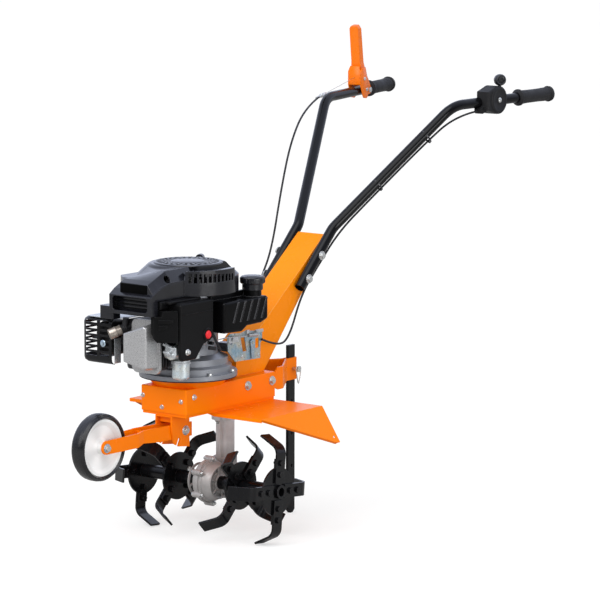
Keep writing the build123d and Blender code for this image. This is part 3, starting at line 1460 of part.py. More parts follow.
NECK = 8.0
with BuildPart() as left_tine_hub:
    with BuildSketch(side(HUB_OUT, 0, AXLE_Z)):
        Circle(HUB_R)
    extrude(amount=HUB_OUT - HUB_IN)
    for plate_y, phases in ((PLATE_IN, INNER_PHASES), (PLATE_OUT, OUTER_PHASES)):
        with BuildSketch(side(plate_y + PLATE, 0, AXLE_Z)):
            Circle(PLATE_R)
            for x, z, lean in bolt_places(phases, (EAR_OUT / 2,)):
                with Locations(Location((x, z), lean)):
                    Rectangle(EAR_WIDE, EAR_OUT)
            for x, z, lean in bolt_places(phases, TINE_BOLT_RADII):
                with Locations(Location((x, z), lean)):
                    Rectangle(NECK, NECK, mode=Mode.SUBTRACT)
        extrude(amount=PLATE)
    with BuildSketch(side(HUB_OUT, 0, AXLE_Z)):
        Circle(HUB_BORE)
    extrude(amount=HUB_OUT - HUB_IN, mode=Mode.SUBTRACT)
    with BuildSketch(side(HUB_OUT, 0, AXLE_Z)):
        Circle(SOCKET_BORE)
    extrude(amount=HUB_OUT - SOCKET_START, mode=Mode.SUBTRACT)
    with BuildSketch(level(AXLE_Z, 0, HITCH_Y)):
        Circle(PIN_HOLE)
    extrude(amount=2 * HUB_R, both=True, mode=Mode.SUBTRACT)
left_tine_hub.part.label = "left_tine_hub"
export_step(left_tine_hub.part, "parts/left_tine_hub.step")

with BuildPart() as right_tine_hub:
    mirror(left_tine_hub.part, about=Plane.XZ)
right_tine_hub.part.label = "right_tine_hub"
export_step(right_tine_hub.part, "parts/right_tine_hub.step")


def blade(phase, foot_y, reach):
    with BuildPart() as tine:
        with BuildSketch(tine_plane(phase)):
            with BuildLine():
                FilletPolyline(
                    (foot_y, BLADE_FOOT), (foot_y, BLADE_CORNER), (foot_y + reach, BLADE_TIP),
                    radius=BLADE_BEND,
                )
            trace(line_width=BLADE_THICK)
        extrude(amount=BLADE_WIDE / 2, both=True)
        with BuildSketch(side(foot_y - BLADE_THICK, 0, AXLE_Z)):
            for x, z, lean in bolt_places((phase,), TINE_BOLT_RADII):
                with Locations(Location((x, z), lean)):
                    Rectangle(NECK, NECK)
        extrude(amount=-2 * BLADE_THICK, mode=Mode.SUBTRACT)
    return tine.part


INNER_BLADE_Y = PLATE_IN + PLATE + BLADE_THICK / 2
OUTER_BLADE_Y = PLATE_OUT + PLATE + BLADE_THICK / 2
with BuildPart() as tine_blades:
    for phase in INNER_PHASES:
        add(blade(phase, INNER_BLADE_Y, BLADE_REACH if phase in (45.0, 225.0) else -BLADE_REACH))
    for phase in OUTER_PHASES:
        add(blade(phase, OUTER_BLADE_Y, -BLADE_REACH))
    mirror(about=Plane.XZ)
tine_blades.part.label = "tine_blades"
export_step(tine_blades.part, "parts/tine_blades.step")

with BuildPart() as tine_bolts:
    for plate_y, phases in ((PLATE_IN, INNER_PHASES), (PLATE_OUT, OUTER_PHASES)):
        for x, z, lean in bolt_places(phases, TINE_BOLT_RADII):
            with BuildSketch(side(plate_y + PLATE + BLADE_THICK, 0, AXLE_Z)):
                with Locations(Location((x, z), lean)):
                    Rectangle(NECK, NECK)
            extrude(amount=PLATE + BLADE_THICK)
            with BuildSketch(side(plate_y, 0, AXLE_Z)):
                with Locations(Location((x, z), lean)):
                    RegularPolygon(7.5, 6)
            extrude(amount=7)
            with BuildSketch(side(plate_y + PLATE + BLADE_THICK, 0, AXLE_Z)):
                with Locations(Location((x, z), lean)):
                    RegularPolygon(7.5, 6)
            extrude(amount=-5)
    mirror(about=Plane.XZ)
tine_bolts.part.label = "tine_bolts"
export_step(tine_bolts.part, "parts/tine_bolts.step")

with BuildPart() as hitch_pins:
    with BuildSketch(level(AXLE_Z - 26, 0, HITCH_Y)):
        Circle(PIN_HOLE)
    extrude(amount=52)
    with BuildSketch(level(AXLE_Z + HUB_R + 1, 0, HITCH_Y)):
        Circle(6)
    extrude(amount=5)
    mirror(about=Plane.XZ)
hitch_pins.part.label = "hitch_pins"
export_step(hitch_pins.part, "parts/hitch_pins.step")

# Bolts of the frame and of the handlebars
with BuildPart() as frame_bolts:
    for bolt_x in SIDE_BOLTS:
        with BuildSketch(side(CHASSIS_HALF, bolt_x, SIDE_BOLT_Z)):
            Circle(HALF_BOLT)
        extrude(amount=14)
        with BuildSketch(side(CHASSIS_HALF, bolt_x, SIDE_BOLT_Z)):
            Circle(11)
        extrude(amount=-2)
        with BuildSketch(side(CHASSIS_HALF + 2, bolt_x, SIDE_BOLT_Z)):
            RegularPolygon(7.5, 6)
        extrude(amount=-5)
    for x, z in HANDLE_BOLTS:
        with BuildSketch(side(COLUMN_HALF + 2 * TUBE_R, x, z)):
            Circle(HALF_BOLT)
        extrude(amount=2 * TUBE_R + 12)
        with BuildSketch(side(COLUMN_HALF + 2 * TUBE_R, x, z)):
            Circle(11)
        extrude(amount=-2)
        with BuildSketch(side(COLUMN_HALF + 2 * TUBE_R + 2, x, z)):
            RegularPolygon(7.5, 6)
        extrude(amount=-5)
    mirror(about=Plane.XZ)
    with BuildSketch(LEVER_PLANE):
        Circle(HALF_BOLT)
    extrude(amount=LEVER_HALF + 6, both=True)
    for turn in (1, -1):
        with BuildSketch(LEVER_PLANE.offset(turn * (LEVER_HALF + 0.4))):
            RegularPolygon(7.5, 6)
        extrude(amount=turn * 5)
frame_bolts.part.label = "frame_bolts"
export_step(frame_bolts.part, "parts/frame_bolts.step")
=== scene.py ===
import json
from math import cos, pi, radians, sin

import bmesh
import bpy
from mathutils import Matrix, Vector


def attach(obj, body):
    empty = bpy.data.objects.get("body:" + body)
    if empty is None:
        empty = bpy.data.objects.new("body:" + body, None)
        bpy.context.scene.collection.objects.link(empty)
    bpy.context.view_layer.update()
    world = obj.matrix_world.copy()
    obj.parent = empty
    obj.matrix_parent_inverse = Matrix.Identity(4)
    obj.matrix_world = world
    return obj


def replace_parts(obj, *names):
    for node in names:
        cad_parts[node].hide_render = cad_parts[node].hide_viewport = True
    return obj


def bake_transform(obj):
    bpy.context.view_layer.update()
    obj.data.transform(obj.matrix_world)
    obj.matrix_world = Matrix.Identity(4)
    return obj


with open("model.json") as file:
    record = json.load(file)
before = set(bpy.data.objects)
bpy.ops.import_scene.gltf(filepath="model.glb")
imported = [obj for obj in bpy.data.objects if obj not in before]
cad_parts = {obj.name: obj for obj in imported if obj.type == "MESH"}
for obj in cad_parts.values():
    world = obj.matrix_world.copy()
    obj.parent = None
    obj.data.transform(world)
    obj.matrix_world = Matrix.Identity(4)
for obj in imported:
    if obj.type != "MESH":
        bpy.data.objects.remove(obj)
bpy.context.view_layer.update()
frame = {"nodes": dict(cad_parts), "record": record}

nodes = frame["nodes"]
scene = bpy.context.scene
MM = 0.001
AXLE_X = 295.0
AXLE_Z = 130.0
ENGINE_X = 77.0
WHEEL_CENTRE = (394.0, 0.0, 270.7)
HEX_CORNER = 1.1547


def at(x, y, z):
    """A point in metres, from millimetres ahead of the tine axle, to the left and up from the ground."""
    return Vector(((AXLE_X + x) * MM, y * MM, z * MM))


# ---------------------------------------------------------------- camera at the photograph's angle
CAMERA_PLACE = Vector((5.9109, 4.5826, 1.6321))
CAMERA_AZIMUTH = radians(37.53)
CAMERA_HEIGHT = radians(8.41)
CAMERA_ROLL = radians(0.125)
CAMERA_LENS = 187.85


def set_camera():
    back = Vector((
        cos(CAMERA_HEIGHT) * cos(CAMERA_AZIMUTH), cos(CAMERA_HEIGHT) * sin(CAMERA_AZIMUTH), sin(CAMERA_HEIGHT)
    ))
    right = (-back).cross(Vector((0, 0, 1))).normalized()
    up = right.cross(-back)
    tilted = cos(CAMERA_ROLL) * right + sin(CAMERA_ROLL) * up
    upward = cos(CAMERA_ROLL) * up - sin(CAMERA_ROLL) * right
    camera = bpy.data.objects.new("camera", bpy.data.cameras.new("camera"))
    camera.data.lens = CAMERA_LENS
    camera.data.sensor_width = 36.0
    camera.data.clip_end = 60.0
    turn = Matrix((tilted, upward, back)).transposed().to_4x4()
    camera.matrix_world = Matrix.Translation(CAMERA_PLACE) @ turn
    scene.collection.objects.link(camera)
    scene.camera = camera


set_camera()
scene.view_settings.view_transform = "Standard"


# ---------------------------------------------------------------- finishes
class Finish:
    """Node tree of one finish, read in the piece's Object coordinates."""

    def __init__(self, name):
        self.material = bpy.data.materials.new(name)
        self.material.use_nodes = True
        self.tree = self.material.node_tree
        self.shader = self.tree.nodes["Principled BSDF"]
        self.place = self.tree.nodes.new("ShaderNodeTexCoord").outputs["Object"]

    def node(self, kind, **inputs):
        made = self.tree.nodes.new(kind)
        for key, value in inputs.items():
            self.feed(made.inputs[key], value)
        return made

    def feed(self, socket, value):
        if isinstance(value, bpy.types.NodeSocket):
            self.tree.links.new(value, socket)
        else:
            socket.default_value = value

    def noise(self, scale, detail=4.0, roughness=0.55, stretch=None):
        vector = self.place
        if stretch:
            vector = self.node("ShaderNodeMapping", Vector=vector, Scale=stretch).outputs["Vector"]
        return self.node(
            "ShaderNodeTexNoise", Vector=vector, Scale=scale, Detail=detail, Roughness=roughness
        ).outputs["Fac"]

    def band(self, value, low, high, out_low, out_high):
        made = self.node("ShaderNodeMapRange", Value=value)
        for key, number in zip(("From Min", "From Max", "To Min", "To Max"), (low, high, out_low, out_high)):
            made.inputs[key].default_value = number
        return made.outputs["Result"]

    def blend(self, share, first, second):
        made = self.tree.nodes.new("ShaderNodeMix")
        made.data_type = "RGBA"
        self.feed(made.inputs[0], share)
        self.feed(made.inputs[6], first)
        self.feed(made.inputs[7], second)
        return made.outputs[2]

    def rounded(self, radius):
        made = self.tree.nodes.new("ShaderNodeBevel")
        made.samples = 4
        made.inputs["Radius"].default_value = radius
        return made.outputs["Normal"]

    def edges(self, radius, low, high):
        """A mask that is 1 where the surface turns sharply."""
        soft = self.rounded(radius)
        hard = self.tree.nodes.new("ShaderNodeNewGeometry").outputs["Normal"]
        turned = self.tree.nodes.new("ShaderNodeVectorMath")
        turned.operation = "DOT_PRODUCT"
        self.feed(turned.inputs[0], soft)
        self.feed(turned.inputs[1], hard)
        return self.band(turned.outputs["Value"], high, low, 0.0, 1.0)

    def bump(self, height, strength, distance, normal):
        made = self.node("ShaderNodeBump", Height=height, Strength=strength, Distance=distance, Normal=normal)
        return made.outputs["Normal"]


def surface(
    name, colour, rough, metal=0.0, mottle=0.12, patch=9.0, grain=900.0, bump=0.12, depth=0.0003, edge=0.0012,
    edge_wear_and_highlight=None, wear_and_highlight_strength=0.35, wear_and_highlight_band=(0.42, 0.66), coat=0.0, specular=0.5, stretch=None, spread=0.12,
):
    """A finish with patchy colour, uneven gloss, fine grain, softened edges and a lighter tint along them:
    scuffing on some finishes, a painted highlight on others.
    """
    f = Finish(name)
    dark = (*(c * (1 - mottle) for c in colour), 1)
    light = (*(min(1, c * (1 + mottle)) for c in colour), 1)
    patches = f.noise(patch, 5.0, 0.6, stretch)
    tint = f.blend(f.band(patches, 0.3, 0.7, 0.0, 1.0), dark, light)
    # On some finishes this lighter tint along the edges is scuffing; on the column, the tank and the orange
    # paint it is a painted highlight.
    if edge_wear_and_highlight:
        wear_and_highlight_edges = f.node("ShaderNodeMath")
        wear_and_highlight_edges.operation = "MULTIPLY"
        f.feed(wear_and_highlight_edges.inputs[0], f.edges(edge, 0.86, 0.97))
        f.feed(wear_and_highlight_edges.inputs[1], f.band(f.noise(60.0, 6.0, 0.7), *wear_and_highlight_band, 0.0, wear_and_highlight_strength))
        tint = f.blend(wear_and_highlight_edges.outputs[0], tint, (*edge_wear_and_highlight, 1))
    f.feed(f.shader.inputs["Base Color"], tint)
    gloss = f.noise(patch * 6, 6.0, 0.65, stretch)
    shine = f.band(gloss, 0.25, 0.75, max(0.05, rough - spread), min(1.0, rough + spread))
    f.feed(f.shader.inputs["Roughness"], shine)
    f.shader.inputs["Metallic"].default_value = metal
    f.shader.inputs["Specular IOR Level"].default_value = specular
    if coat:
        f.shader.inputs["Coat Weight"].default_value = coat
        f.shader.inputs["Coat Roughness"].default_value = 0.12
    f.feed(f.shader.inputs["Normal"], f.bump(f.noise(grain, 3.0, 0.6, stretch), bump, depth, f.rounded(edge)))
    return f.material


LOOKS = {
    # The lighter orange along its edges is a slight painted highlight, broken up in patches.
    "orange_paint": surface(
        "orange_powder_coat", (0.99, 0.205, 0.0005), 0.24, mottle=0.04, patch=5.0, grain=520.0, bump=0.03,
        edge_wear_and_highlight=(1.0, 0.30, 0.02), wear_and_highlight_strength=0.5, specular=0.12, spread=0.06,
    ),
    # The pale orange along its edges is a painted highlight, where the folds catch the light.
    "column_paint": surface(
        "orange_column_coat", (0.99, 0.27, 0.003), 0.26, mottle=0.06, patch=4.0, grain=520.0, bump=0.03,
        edge_wear_and_highlight=(1.0, 0.50, 0.12), wear_and_highlight_strength=0.9, wear_and_highlight_band=(0.1, 0.4), specular=0.12, spread=0.06, edge=0.0030,
    ),
    "black_paint": surface(
        "satin_black_paint", (0.0040, 0.0040, 0.0048), 0.22, mottle=0.3, grain=600.0, bump=0.03,
        edge_wear_and_highlight=(0.12, 0.12, 0.125), wear_and_highlight_strength=0.6, specular=0.28, spread=0.08,
    ),
    "black_gloss": surface(
        "gloss_black_paint", (0.003, 0.003, 0.0036), 0.17, mottle=0.2, grain=420.0, bump=0.02, spread=0.05,
        specular=0.24,
    ),
    "black_rubber": surface(
        "black_rubber", (0.014, 0.014, 0.016), 0.55, mottle=0.30, grain=1500.0, bump=0.15, specular=0.35,
    ),
    "black_plastic": surface(
        "moulded_black_plastic", (0.0090, 0.0093, 0.0125), 0.17, mottle=0.2, patch=14.0, grain=1500.0,
        bump=0.015, edge_wear_and_highlight=(0.10, 0.10, 0.115), wear_and_highlight_strength=0.6, spread=0.06, edge=0.0018, specular=0.5,
    ),
    "black_filter": surface(
        "dark_filter_plastic", (0.0035, 0.0035, 0.0038), 0.34, mottle=0.25, patch=14.0, grain=1500.0,
        bump=0.03, edge_wear_and_highlight=(0.06, 0.06, 0.065), wear_and_highlight_strength=0.6, spread=0.07, edge=0.0022, specular=0.13,
    ),
    # The grey along its ribs and edges is a painted highlight, spread evenly.
    "black_tank": surface(
        "blown_tank_plastic", (0.0030, 0.0030, 0.0034), 0.20, mottle=0.25, patch=14.0, grain=1200.0,
        bump=0.03, edge_wear_and_highlight=(0.13, 0.13, 0.14), wear_and_highlight_strength=0.9, wear_and_highlight_band=(0.1, 0.35), spread=0.06, edge=0.0030,
        specular=0.09,
    ),
    "black_matt": surface(
        "matt_black_plastic", (0.008, 0.008, 0.009), 0.55, mottle=0.25, grain=1800.0, bump=0.25,
        specular=0.3,
    ),
    "red_rubber": surface(
        "red_primer_rubber", (0.78, 0.012, 0.02), 0.38, mottle=0.12, grain=900.0, bump=0.1, coat=0.2,
    ),
    "tyre_rubber": surface(
        "tyre_rubber", (0.0055, 0.0055, 0.0065), 0.28, mottle=0.4, patch=30.0, grain=1300.0, bump=0.05,
        specular=0.5,
    ),
    "cast_aluminium": surface(
        "cast_aluminium", (0.26, 0.27, 0.295), 0.38, metal=0.6, mottle=0.14, patch=24.0, grain=700.0,
        bump=0.25, depth=0.0004, edge_wear_and_highlight=(0.85, 0.85, 0.86), wear_and_highlight_strength=0.6,
    ),
    "pressed_aluminium": surface(
        "pressed_aluminium", (0.444, 0.444, 0.448), 0.30, metal=0.62, mottle=0.05, patch=40.0, grain=420.0,
        bump=0.02, stretch=(1.0, 1.0, 6.0), edge_wear_and_highlight=(0.9, 0.9, 0.9), wear_and_highlight_strength=0.6,
    ),
    "dark_fins": surface(
        "dark_cast_fins", (0.030, 0.030, 0.032), 0.55, metal=0.3, mottle=0.35, patch=30.0, grain=600.0,
        bump=0.4, depth=0.0004,
    ),
    "cast_iron": surface(
        "machined_iron", (0.22, 0.22, 0.225), 0.45, metal=0.8, mottle=0.2, grain=700.0, bump=0.3,
    ),
    "zinc_steel": surface(
        "zinc_plate", (0.60, 0.61, 0.60), 0.26, metal=0.75, mottle=0.14, patch=45.0, grain=900.0, bump=0.03,
        edge_wear_and_highlight=(0.88, 0.88, 0.86), wear_and_highlight_strength=0.6,
    ),
    "bare_steel": surface(
        "machined_steel", (0.50, 0.50, 0.505), 0.34, metal=0.92, mottle=0.12, patch=35.0, grain=800.0,
        bump=0.15, stretch=(1.0, 5.0, 1.0),
    ),
    "bronze": surface(
        "bronze", (0.58, 0.38, 0.16), 0.34, metal=0.92, mottle=0.14, patch=30.0, grain=700.0, bump=0.15,
    ),
    "heat_blued": surface(
        "heat_tinted_nickel", (0.50, 0.44, 0.38), 0.30, metal=0.7, mottle=0.34, patch=60.0, grain=600.0,
        bump=0.12,
    ),
    "blued_zinc": surface(
        "blue_passivated_zinc", (0.42, 0.52, 0.60), 0.28, metal=0.75, mottle=0.22, patch=55.0, grain=900.0,
        bump=0.03,
    ),
    "orange_dip": surface(
        "orange_dipped_vinyl", (0.98, 0.19, 0.001), 0.26, mottle=0.05, patch=8.0, grain=500.0, bump=0.03,
        specular=0.3, edge=0.004,
    ),
    "thin_zinc": surface(
        "thin_zinc_sheet", (0.56, 0.59, 0.61), 0.30, metal=0.6, mottle=0.16, patch=70.0, grain=900.0,
        bump=0.02, edge=0.0003,
    ),
    # Near-black steel for the muffler shells.
    "near_black_muffler_steel": surface(
        "near_black_muffler_steel", (0.016, 0.015, 0.015), 0.55, metal=0.4, mottle=0.4, patch=50.0, grain=800.0,
        bump=0.1, specular=0.2,
    ),
    # Near black: painted shade for the grille's recess and the air inlet's opening.
    "painted_shade_black": surface(
        "painted_shade_black", (0.002, 0.002, 0.002), 0.85, mottle=0.3, grain=900.0, bump=0.1, specular=0.03,
    ),
}


def plated_tint(name, blue, yellow, pale):
    """Blue and yellow drift of passivated zinc."""
    f = Finish(name)
    drift = f.band(f.noise(42.0, 3.0, 0.5), 0.38, 0.62, 0.0, 1.0)
    fine = f.band(f.noise(150.0, 4.0, 0.6), 0.38, 0.7, 0.0, 0.6)
    tint = f.blend(drift, (*blue, 1), (*yellow, 1))
    f.feed(f.shader.inputs["Base Color"], f.blend(fine, tint, (*pale, 1)))
    f.shader.inputs["Metallic"].default_value = 0.65
    f.feed(f.shader.inputs["Roughness"], f.band(f.noise(120.0, 5.0), 0.3, 0.7, 0.22, 0.42))
    f.feed(f.shader.inputs["Normal"], f.bump(f.noise(700.0), 0.06, 0.0003, f.rounded(0.0006)))
    return f.material


# Heights in metres over which the darker drum gives way to the pale stem, which is painted light.
STEM_PAINTED_LIGHT_LINE = (0.175, 0.215)


def gearbox_casting():
    """Rough grey casting, pale on the stem as painted light, and darker round the drum below a height line.
    """
    f = Finish("gearbox_casting")
    height = f.node("ShaderNodeSeparateXYZ", Vector=f.place).outputs["Z"]
    painted_light_share = f.band(height, *STEM_PAINTED_LIGHT_LINE, 0.0, 1.0)
    pale = f.band(f.noise(26.0, 5.0, 0.6), 0.3, 0.7, 0.0, 1.0)
    # The stem's pale grey is painted light.
    stem = f.blend(pale, (0.70, 0.71, 0.715, 1), (0.90, 0.91, 0.915, 1))
    drum_mottle = f.band(f.noise(30.0, 5.0, 0.6), 0.3, 0.7, 0.0, 1.0)
    drum = f.blend(drum_mottle, (0.34, 0.325, 0.32, 1), (0.52, 0.50, 0.49, 1))
    tint = f.blend(painted_light_share, drum, stem)
    f.feed(f.shader.inputs["Base Color"], f.blend(
        f.band(f.edges(0.0018, 0.86, 0.97), 0.0, 1.0, 0.0, 0.5), tint, (0.78, 0.76, 0.74, 1)
    ))
    f.shader.inputs["Metallic"].default_value = 0.25
    f.feed(f.shader.inputs["Roughness"], f.band(f.noise(160.0, 6.0), 0.25, 0.75, 0.34, 0.56))
    f.feed(f.shader.inputs["Normal"], f.bump(f.noise(520.0, 3.0, 0.6), 0.4, 0.0006, f.rounded(0.0018)))
    return f.material


HUB_PAINTED_SHADE_SECTORS = 4


def hub_painted_sheen():
    """White moulded hub, with painted light and shade in soft sectors like the reflections of a turned disc.
    """
    f = Finish("white_hub_painted_sheen")
    centre = at(*WHEEL_CENTRE)
    about = f.node(
        "ShaderNodeMapping", Vector=f.place, Location=(-centre.x, -centre.z, 0.0),
        Rotation=(radians(-90), 0.0, 0.0),
    ).outputs["Vector"]
    sweep = f.tree.nodes.new("ShaderNodeTexGradient")
    sweep.gradient_type = "RADIAL"
    f.feed(sweep.inputs["Vector"], about)
    rays = f.node("ShaderNodeMath")
    rays.operation = "MULTIPLY"
    f.feed(rays.inputs[0], sweep.outputs["Fac"])
    rays.inputs[1].default_value = 2 * pi * HUB_PAINTED_SHADE_SECTORS
    wave = f.node("ShaderNodeMath")
    wave.operation = "SINE"
    f.feed(wave.inputs[0], rays.outputs[0])
    share = f.band(wave.outputs[0], -1.0, 1.0, 0.0, 1.0)
    # Painted light and shade: the base colour swings between these two whites round the hub.
    tint = f.blend(share, (0.78, 0.78, 0.775, 1), (0.97, 0.97, 0.965, 1))
    f.feed(f.shader.inputs["Base Color"], tint)
    f.feed(f.shader.inputs["Roughness"], f.band(f.noise(80.0), 0.3, 0.7, 0.34, 0.52))
    f.feed(f.shader.inputs["Normal"], f.bump(f.noise(1100.0), 0.08, 0.0003, f.rounded(0.0012)))
    return f.material


LOOKS["plated_sheet"] = plated_tint(
    "passivated_zinc_sheet", (0.22, 0.38, 0.48), (0.52, 0.50, 0.40), (0.62, 0.68, 0.72)
)
LOOKS["plated_casting"] = plated_tint(
    "passivated_zinc_casting", (0.50, 0.60, 0.66), (0.64, 0.64, 0.58), (0.72, 0.76, 0.77)
)
LOOKS["gearbox_casting"] = gearbox_casting()
LOOKS["white_plastic"] = hub_painted_sheen()

NODE_LOOKS = {
    "left_handlebar": "black_gloss", "right_handlebar": "black_gloss", "throttle_housing": "black_matt",
    "throttle_lever": "black_matt", "valve_cover": "pressed_aluminium", "cylinder_head": "dark_fins",
    "governor_plate": "plated_sheet", "carburettor": "plated_casting", "clutch_lever": "orange_dip",
    "gearbox_left_half": "gearbox_casting", "gearbox_right_half": "gearbox_casting",
    "throttle_arm": "blued_zinc", "handle_column": "column_paint", "air_filter_base": "black_filter",
    "air_filter_cover": "black_filter", "fuel_tank": "black_tank",
}
cad_slots = {entry["node"]: entry["material_slot"] for entry in frame["record"]["subparts"]}
for name, obj in nodes.items():
    obj.data.materials.clear()
    obj.data.materials.append(LOOKS[NODE_LOOKS.get(name, cad_slots[name])])


# ---------------------------------------------------------------- small tools for the pieces
def place(origin, along, across=None):
    """Frame at a point, its z along a direction and its x near another."""
    z = Vector(along).normalized()
    hint = Vector(across) if across else (Vector((0, 0, 1)) if abs(z.z) < 0.9 else Vector((1, 0, 0)))
    x = (hint - hint.dot(z) * z).normalized()
    y = z.cross(x)
    return Matrix.Translation(at(*origin)) @ Matrix((x, y, z)).transposed().to_4x4()


def turned(where, profile, steps=28):
    """A lathe shape: (radius, height) points in millimetres spun round a place's z."""
    bm = bmesh.new()
    ring = [bm.verts.new((r * MM, 0, h * MM)) for r, h in profile]
    line = [bm.edges.new(pair) for pair in zip(ring, ring[1:])]
    bmesh.ops.spin(
        bm, geom=ring + line, cent=(0, 0, 0), axis=(0, 0, 1), angle=2 * pi, steps=steps, use_merge=True
    )
    bmesh.ops.remove_doubles(bm, verts=bm.verts, dist=1e-6)
    bmesh.ops.recalc_face_normals(bm, faces=bm.faces)
    bmesh.ops.transform(bm, matrix=where, verts=bm.verts)
    return bm


def cut_sheet(where, outline, thick, bevel=0.4):
    """A flat sheet cut to an outline in a place's x and y, with eased edges."""
    bm = bmesh.new()
    face = bm.faces.new([bm.verts.new((x * MM, y * MM, 0)) for x, y in outline])
    raised = bmesh.ops.extrude_face_region(bm, geom=[face])
    top = [v for v in raised["geom"] if isinstance(v, bmesh.types.BMVert)]
    bmesh.ops.translate(bm, vec=(0, 0, thick * MM), verts=top)
    bmesh.ops.recalc_face_normals(bm, faces=bm.faces)
    bmesh.ops.bevel(
        bm, geom=list(bm.edges), offset=bevel * MM, segments=2, profile=0.5, affect="EDGES", material=-1
    )
    bmesh.ops.transform(bm, matrix=where, verts=bm.verts)
    return bm


def hexagon(where, across, high):
    """A hexagon head with its corners turned down."""
    bm = bmesh.new()
    corner = across * MM / 2 * HEX_CORNER
    bmesh.ops.create_cone(bm, cap_ends=True, segments=6, radius1=corner, radius2=corner, depth=high * MM)
    bmesh.ops.translate(bm, vec=(0, 0, high * MM / 2), verts=bm.verts)
    rim = [e for e in bm.edges if all(v.co.z > high * MM * 0.9 for v in e.verts)]
    bmesh.ops.bevel(bm, geom=rim, offset=0.9 * MM, segments=2, profile=0.5, affect="EDGES", material=-1)
    bmesh.ops.transform(bm, matrix=where, verts=bm.verts)
    return bm


def flange_bolt(where, across=8.0, collar=7.0, high=5.0):
    """Hexagon bolt head on its own collar."""
    return [
        turned(where, ((0, 0), (collar, 0), (collar, 0.8), (collar - 1.6, 1.8), (0, 1.8)), 24),
        hexagon(where @ Matrix.Translation((0, 0, 1.6 * MM)), across, high),
    ]


def pan_screw(where, radius=4.5, high=3.0):
    """Rounded screw head with a recess in the middle."""
    return [turned(where, (
        (0, 0), (radius, 0), (radius, 0.25 * high), (0.86 * radius, 0.7 * high), (0.5 * radius, high),
        (0.3 * radius, high), (0.24 * radius, 0.45 * high), (0, 0.4 * high),
    ), 20)]


def rod(where, radius, low, high, ease=0.6, steps=20):
    """A round bar along a place's z with eased ends."""
    return turned(where, (
        (0, low), (radius - ease, low), (radius, low + ease), (radius, high - ease), (radius - ease, high),
        (0, high),
    ), steps)


def block(where, size, ease=1.0, segments=3):
    """A box with rounded edges."""
    bm = bmesh.new()
    bmesh.ops.create_cube(bm, size=1.0)
    bmesh.ops.scale(bm, vec=[s * MM for s in size], verts=bm.verts)
    bmesh.ops.bevel(
        bm, geom=list(bm.edges), offset=ease * MM, segments=segments, profile=0.5, affect="EDGES", material=-1
    )
    bmesh.ops.transform(bm, matrix=where, verts=bm.verts)
    return bm


SHARP_ANGLE = radians(35.0)


def piece(name, shapes, look, body):
    """Joins shapes into one finished piece that rides on a body."""
    mesh = bpy.data.meshes.new(name)
    whole = bmesh.new()
    for shape in shapes:
        shape.to_mesh(mesh)
        shape.free()
        whole.from_mesh(mesh)
    whole.to_mesh(mesh)
    whole.free()
    mesh.shade_smooth()
    mesh.set_sharp_from_angle(angle=SHARP_ANGLE)
    mesh.materials.append(LOOKS[look])
    obj = bpy.data.objects.new(name, mesh)
    scene.collection.objects.link(obj)
    if body:
        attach(obj, body)
    return obj


def strand(name, points, radius, look, body, cyclic=False):
    """A round wire or cable on one smooth NURBS line that has a route's points as control points."""
    curve = bpy.data.curves.new(name, "CURVE")
    curve.dimensions = "3D"
    curve.bevel_depth = radius * MM
    curve.bevel_resolution = 4
    curve.resolution_u = 12
    curve.use_fill_caps = True
    spline = curve.splines.new("NURBS")
    spline.points.add(len(points) - 1)
    for dot, spot in zip(spline.points, points):
        dot.co = (*at(*spot), 1.0)
    spline.use_cyclic_u = cyclic
    spline.order_u = 3
    spline.use_endpoint_u = not cyclic
    curve.materials.append(LOOKS[look])
    obj = bpy.data.objects.new(name, curve)
    scene.collection.objects.link(obj)
    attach(obj, body)
    return obj


# ---------------------------------------------------------------- cables along the handlebars
CLUTCH_ROUTE = (
    (-672.0, -186.0, 985.0), (-560.0, -147.0, 966.0), (-453.0, -109.0, 892.0), (-388.0, -88.0, 782.0),
    (-337.0, -78.0, 636.0), (-292.0, -78.0, 568.0), (-196.0, -50.0, 446.0), (-130.0, -48.0, 398.0),
    (-130.0, -48.0, 366.0),
)
THROTTLE_ROUTE = (
    (-788.0, 211.0, 960.5), (-725.0, 191.0, 951.0), (-640.0, 160.0, 887.0), (-500.0, 95.0, 756.0),
    (-424.0, 61.0, 684.0), (-350.0, 55.0, 609.0), (-290.0, 50.0, 546.0), (-236.0, 55.0, 446.0),
    (-172.0, 70.0, 436.0), (-84.0, 91.0, 466.0),
)
CABLE_R = 2.5
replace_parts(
    strand("clutch_cable_sheath", CLUTCH_ROUTE, CABLE_R, "black_rubber", "frame"),
    "clutch_cable",
)
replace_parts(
    strand("throttle_cable_sheath", THROTTLE_ROUTE, CABLE_R, "black_rubber", "frame"),
    "throttle_cable",
)


# ---------------------------------------------------------------- fasteners
AHEAD, LEFT, RIGHT, UP, DOWN = (1, 0, 0), (0, 1, 0), (0, -1, 0), (0, 0, 1), (0, 0, -1)
GEARBOX_BOLT_CIRCLE = 53
FLANGE_BOLT_CIRCLE = 107.5
FORK_PIVOT_X, FORK_PIVOT_Z = 117, 271
STRAP_FACE_Y = 24.6


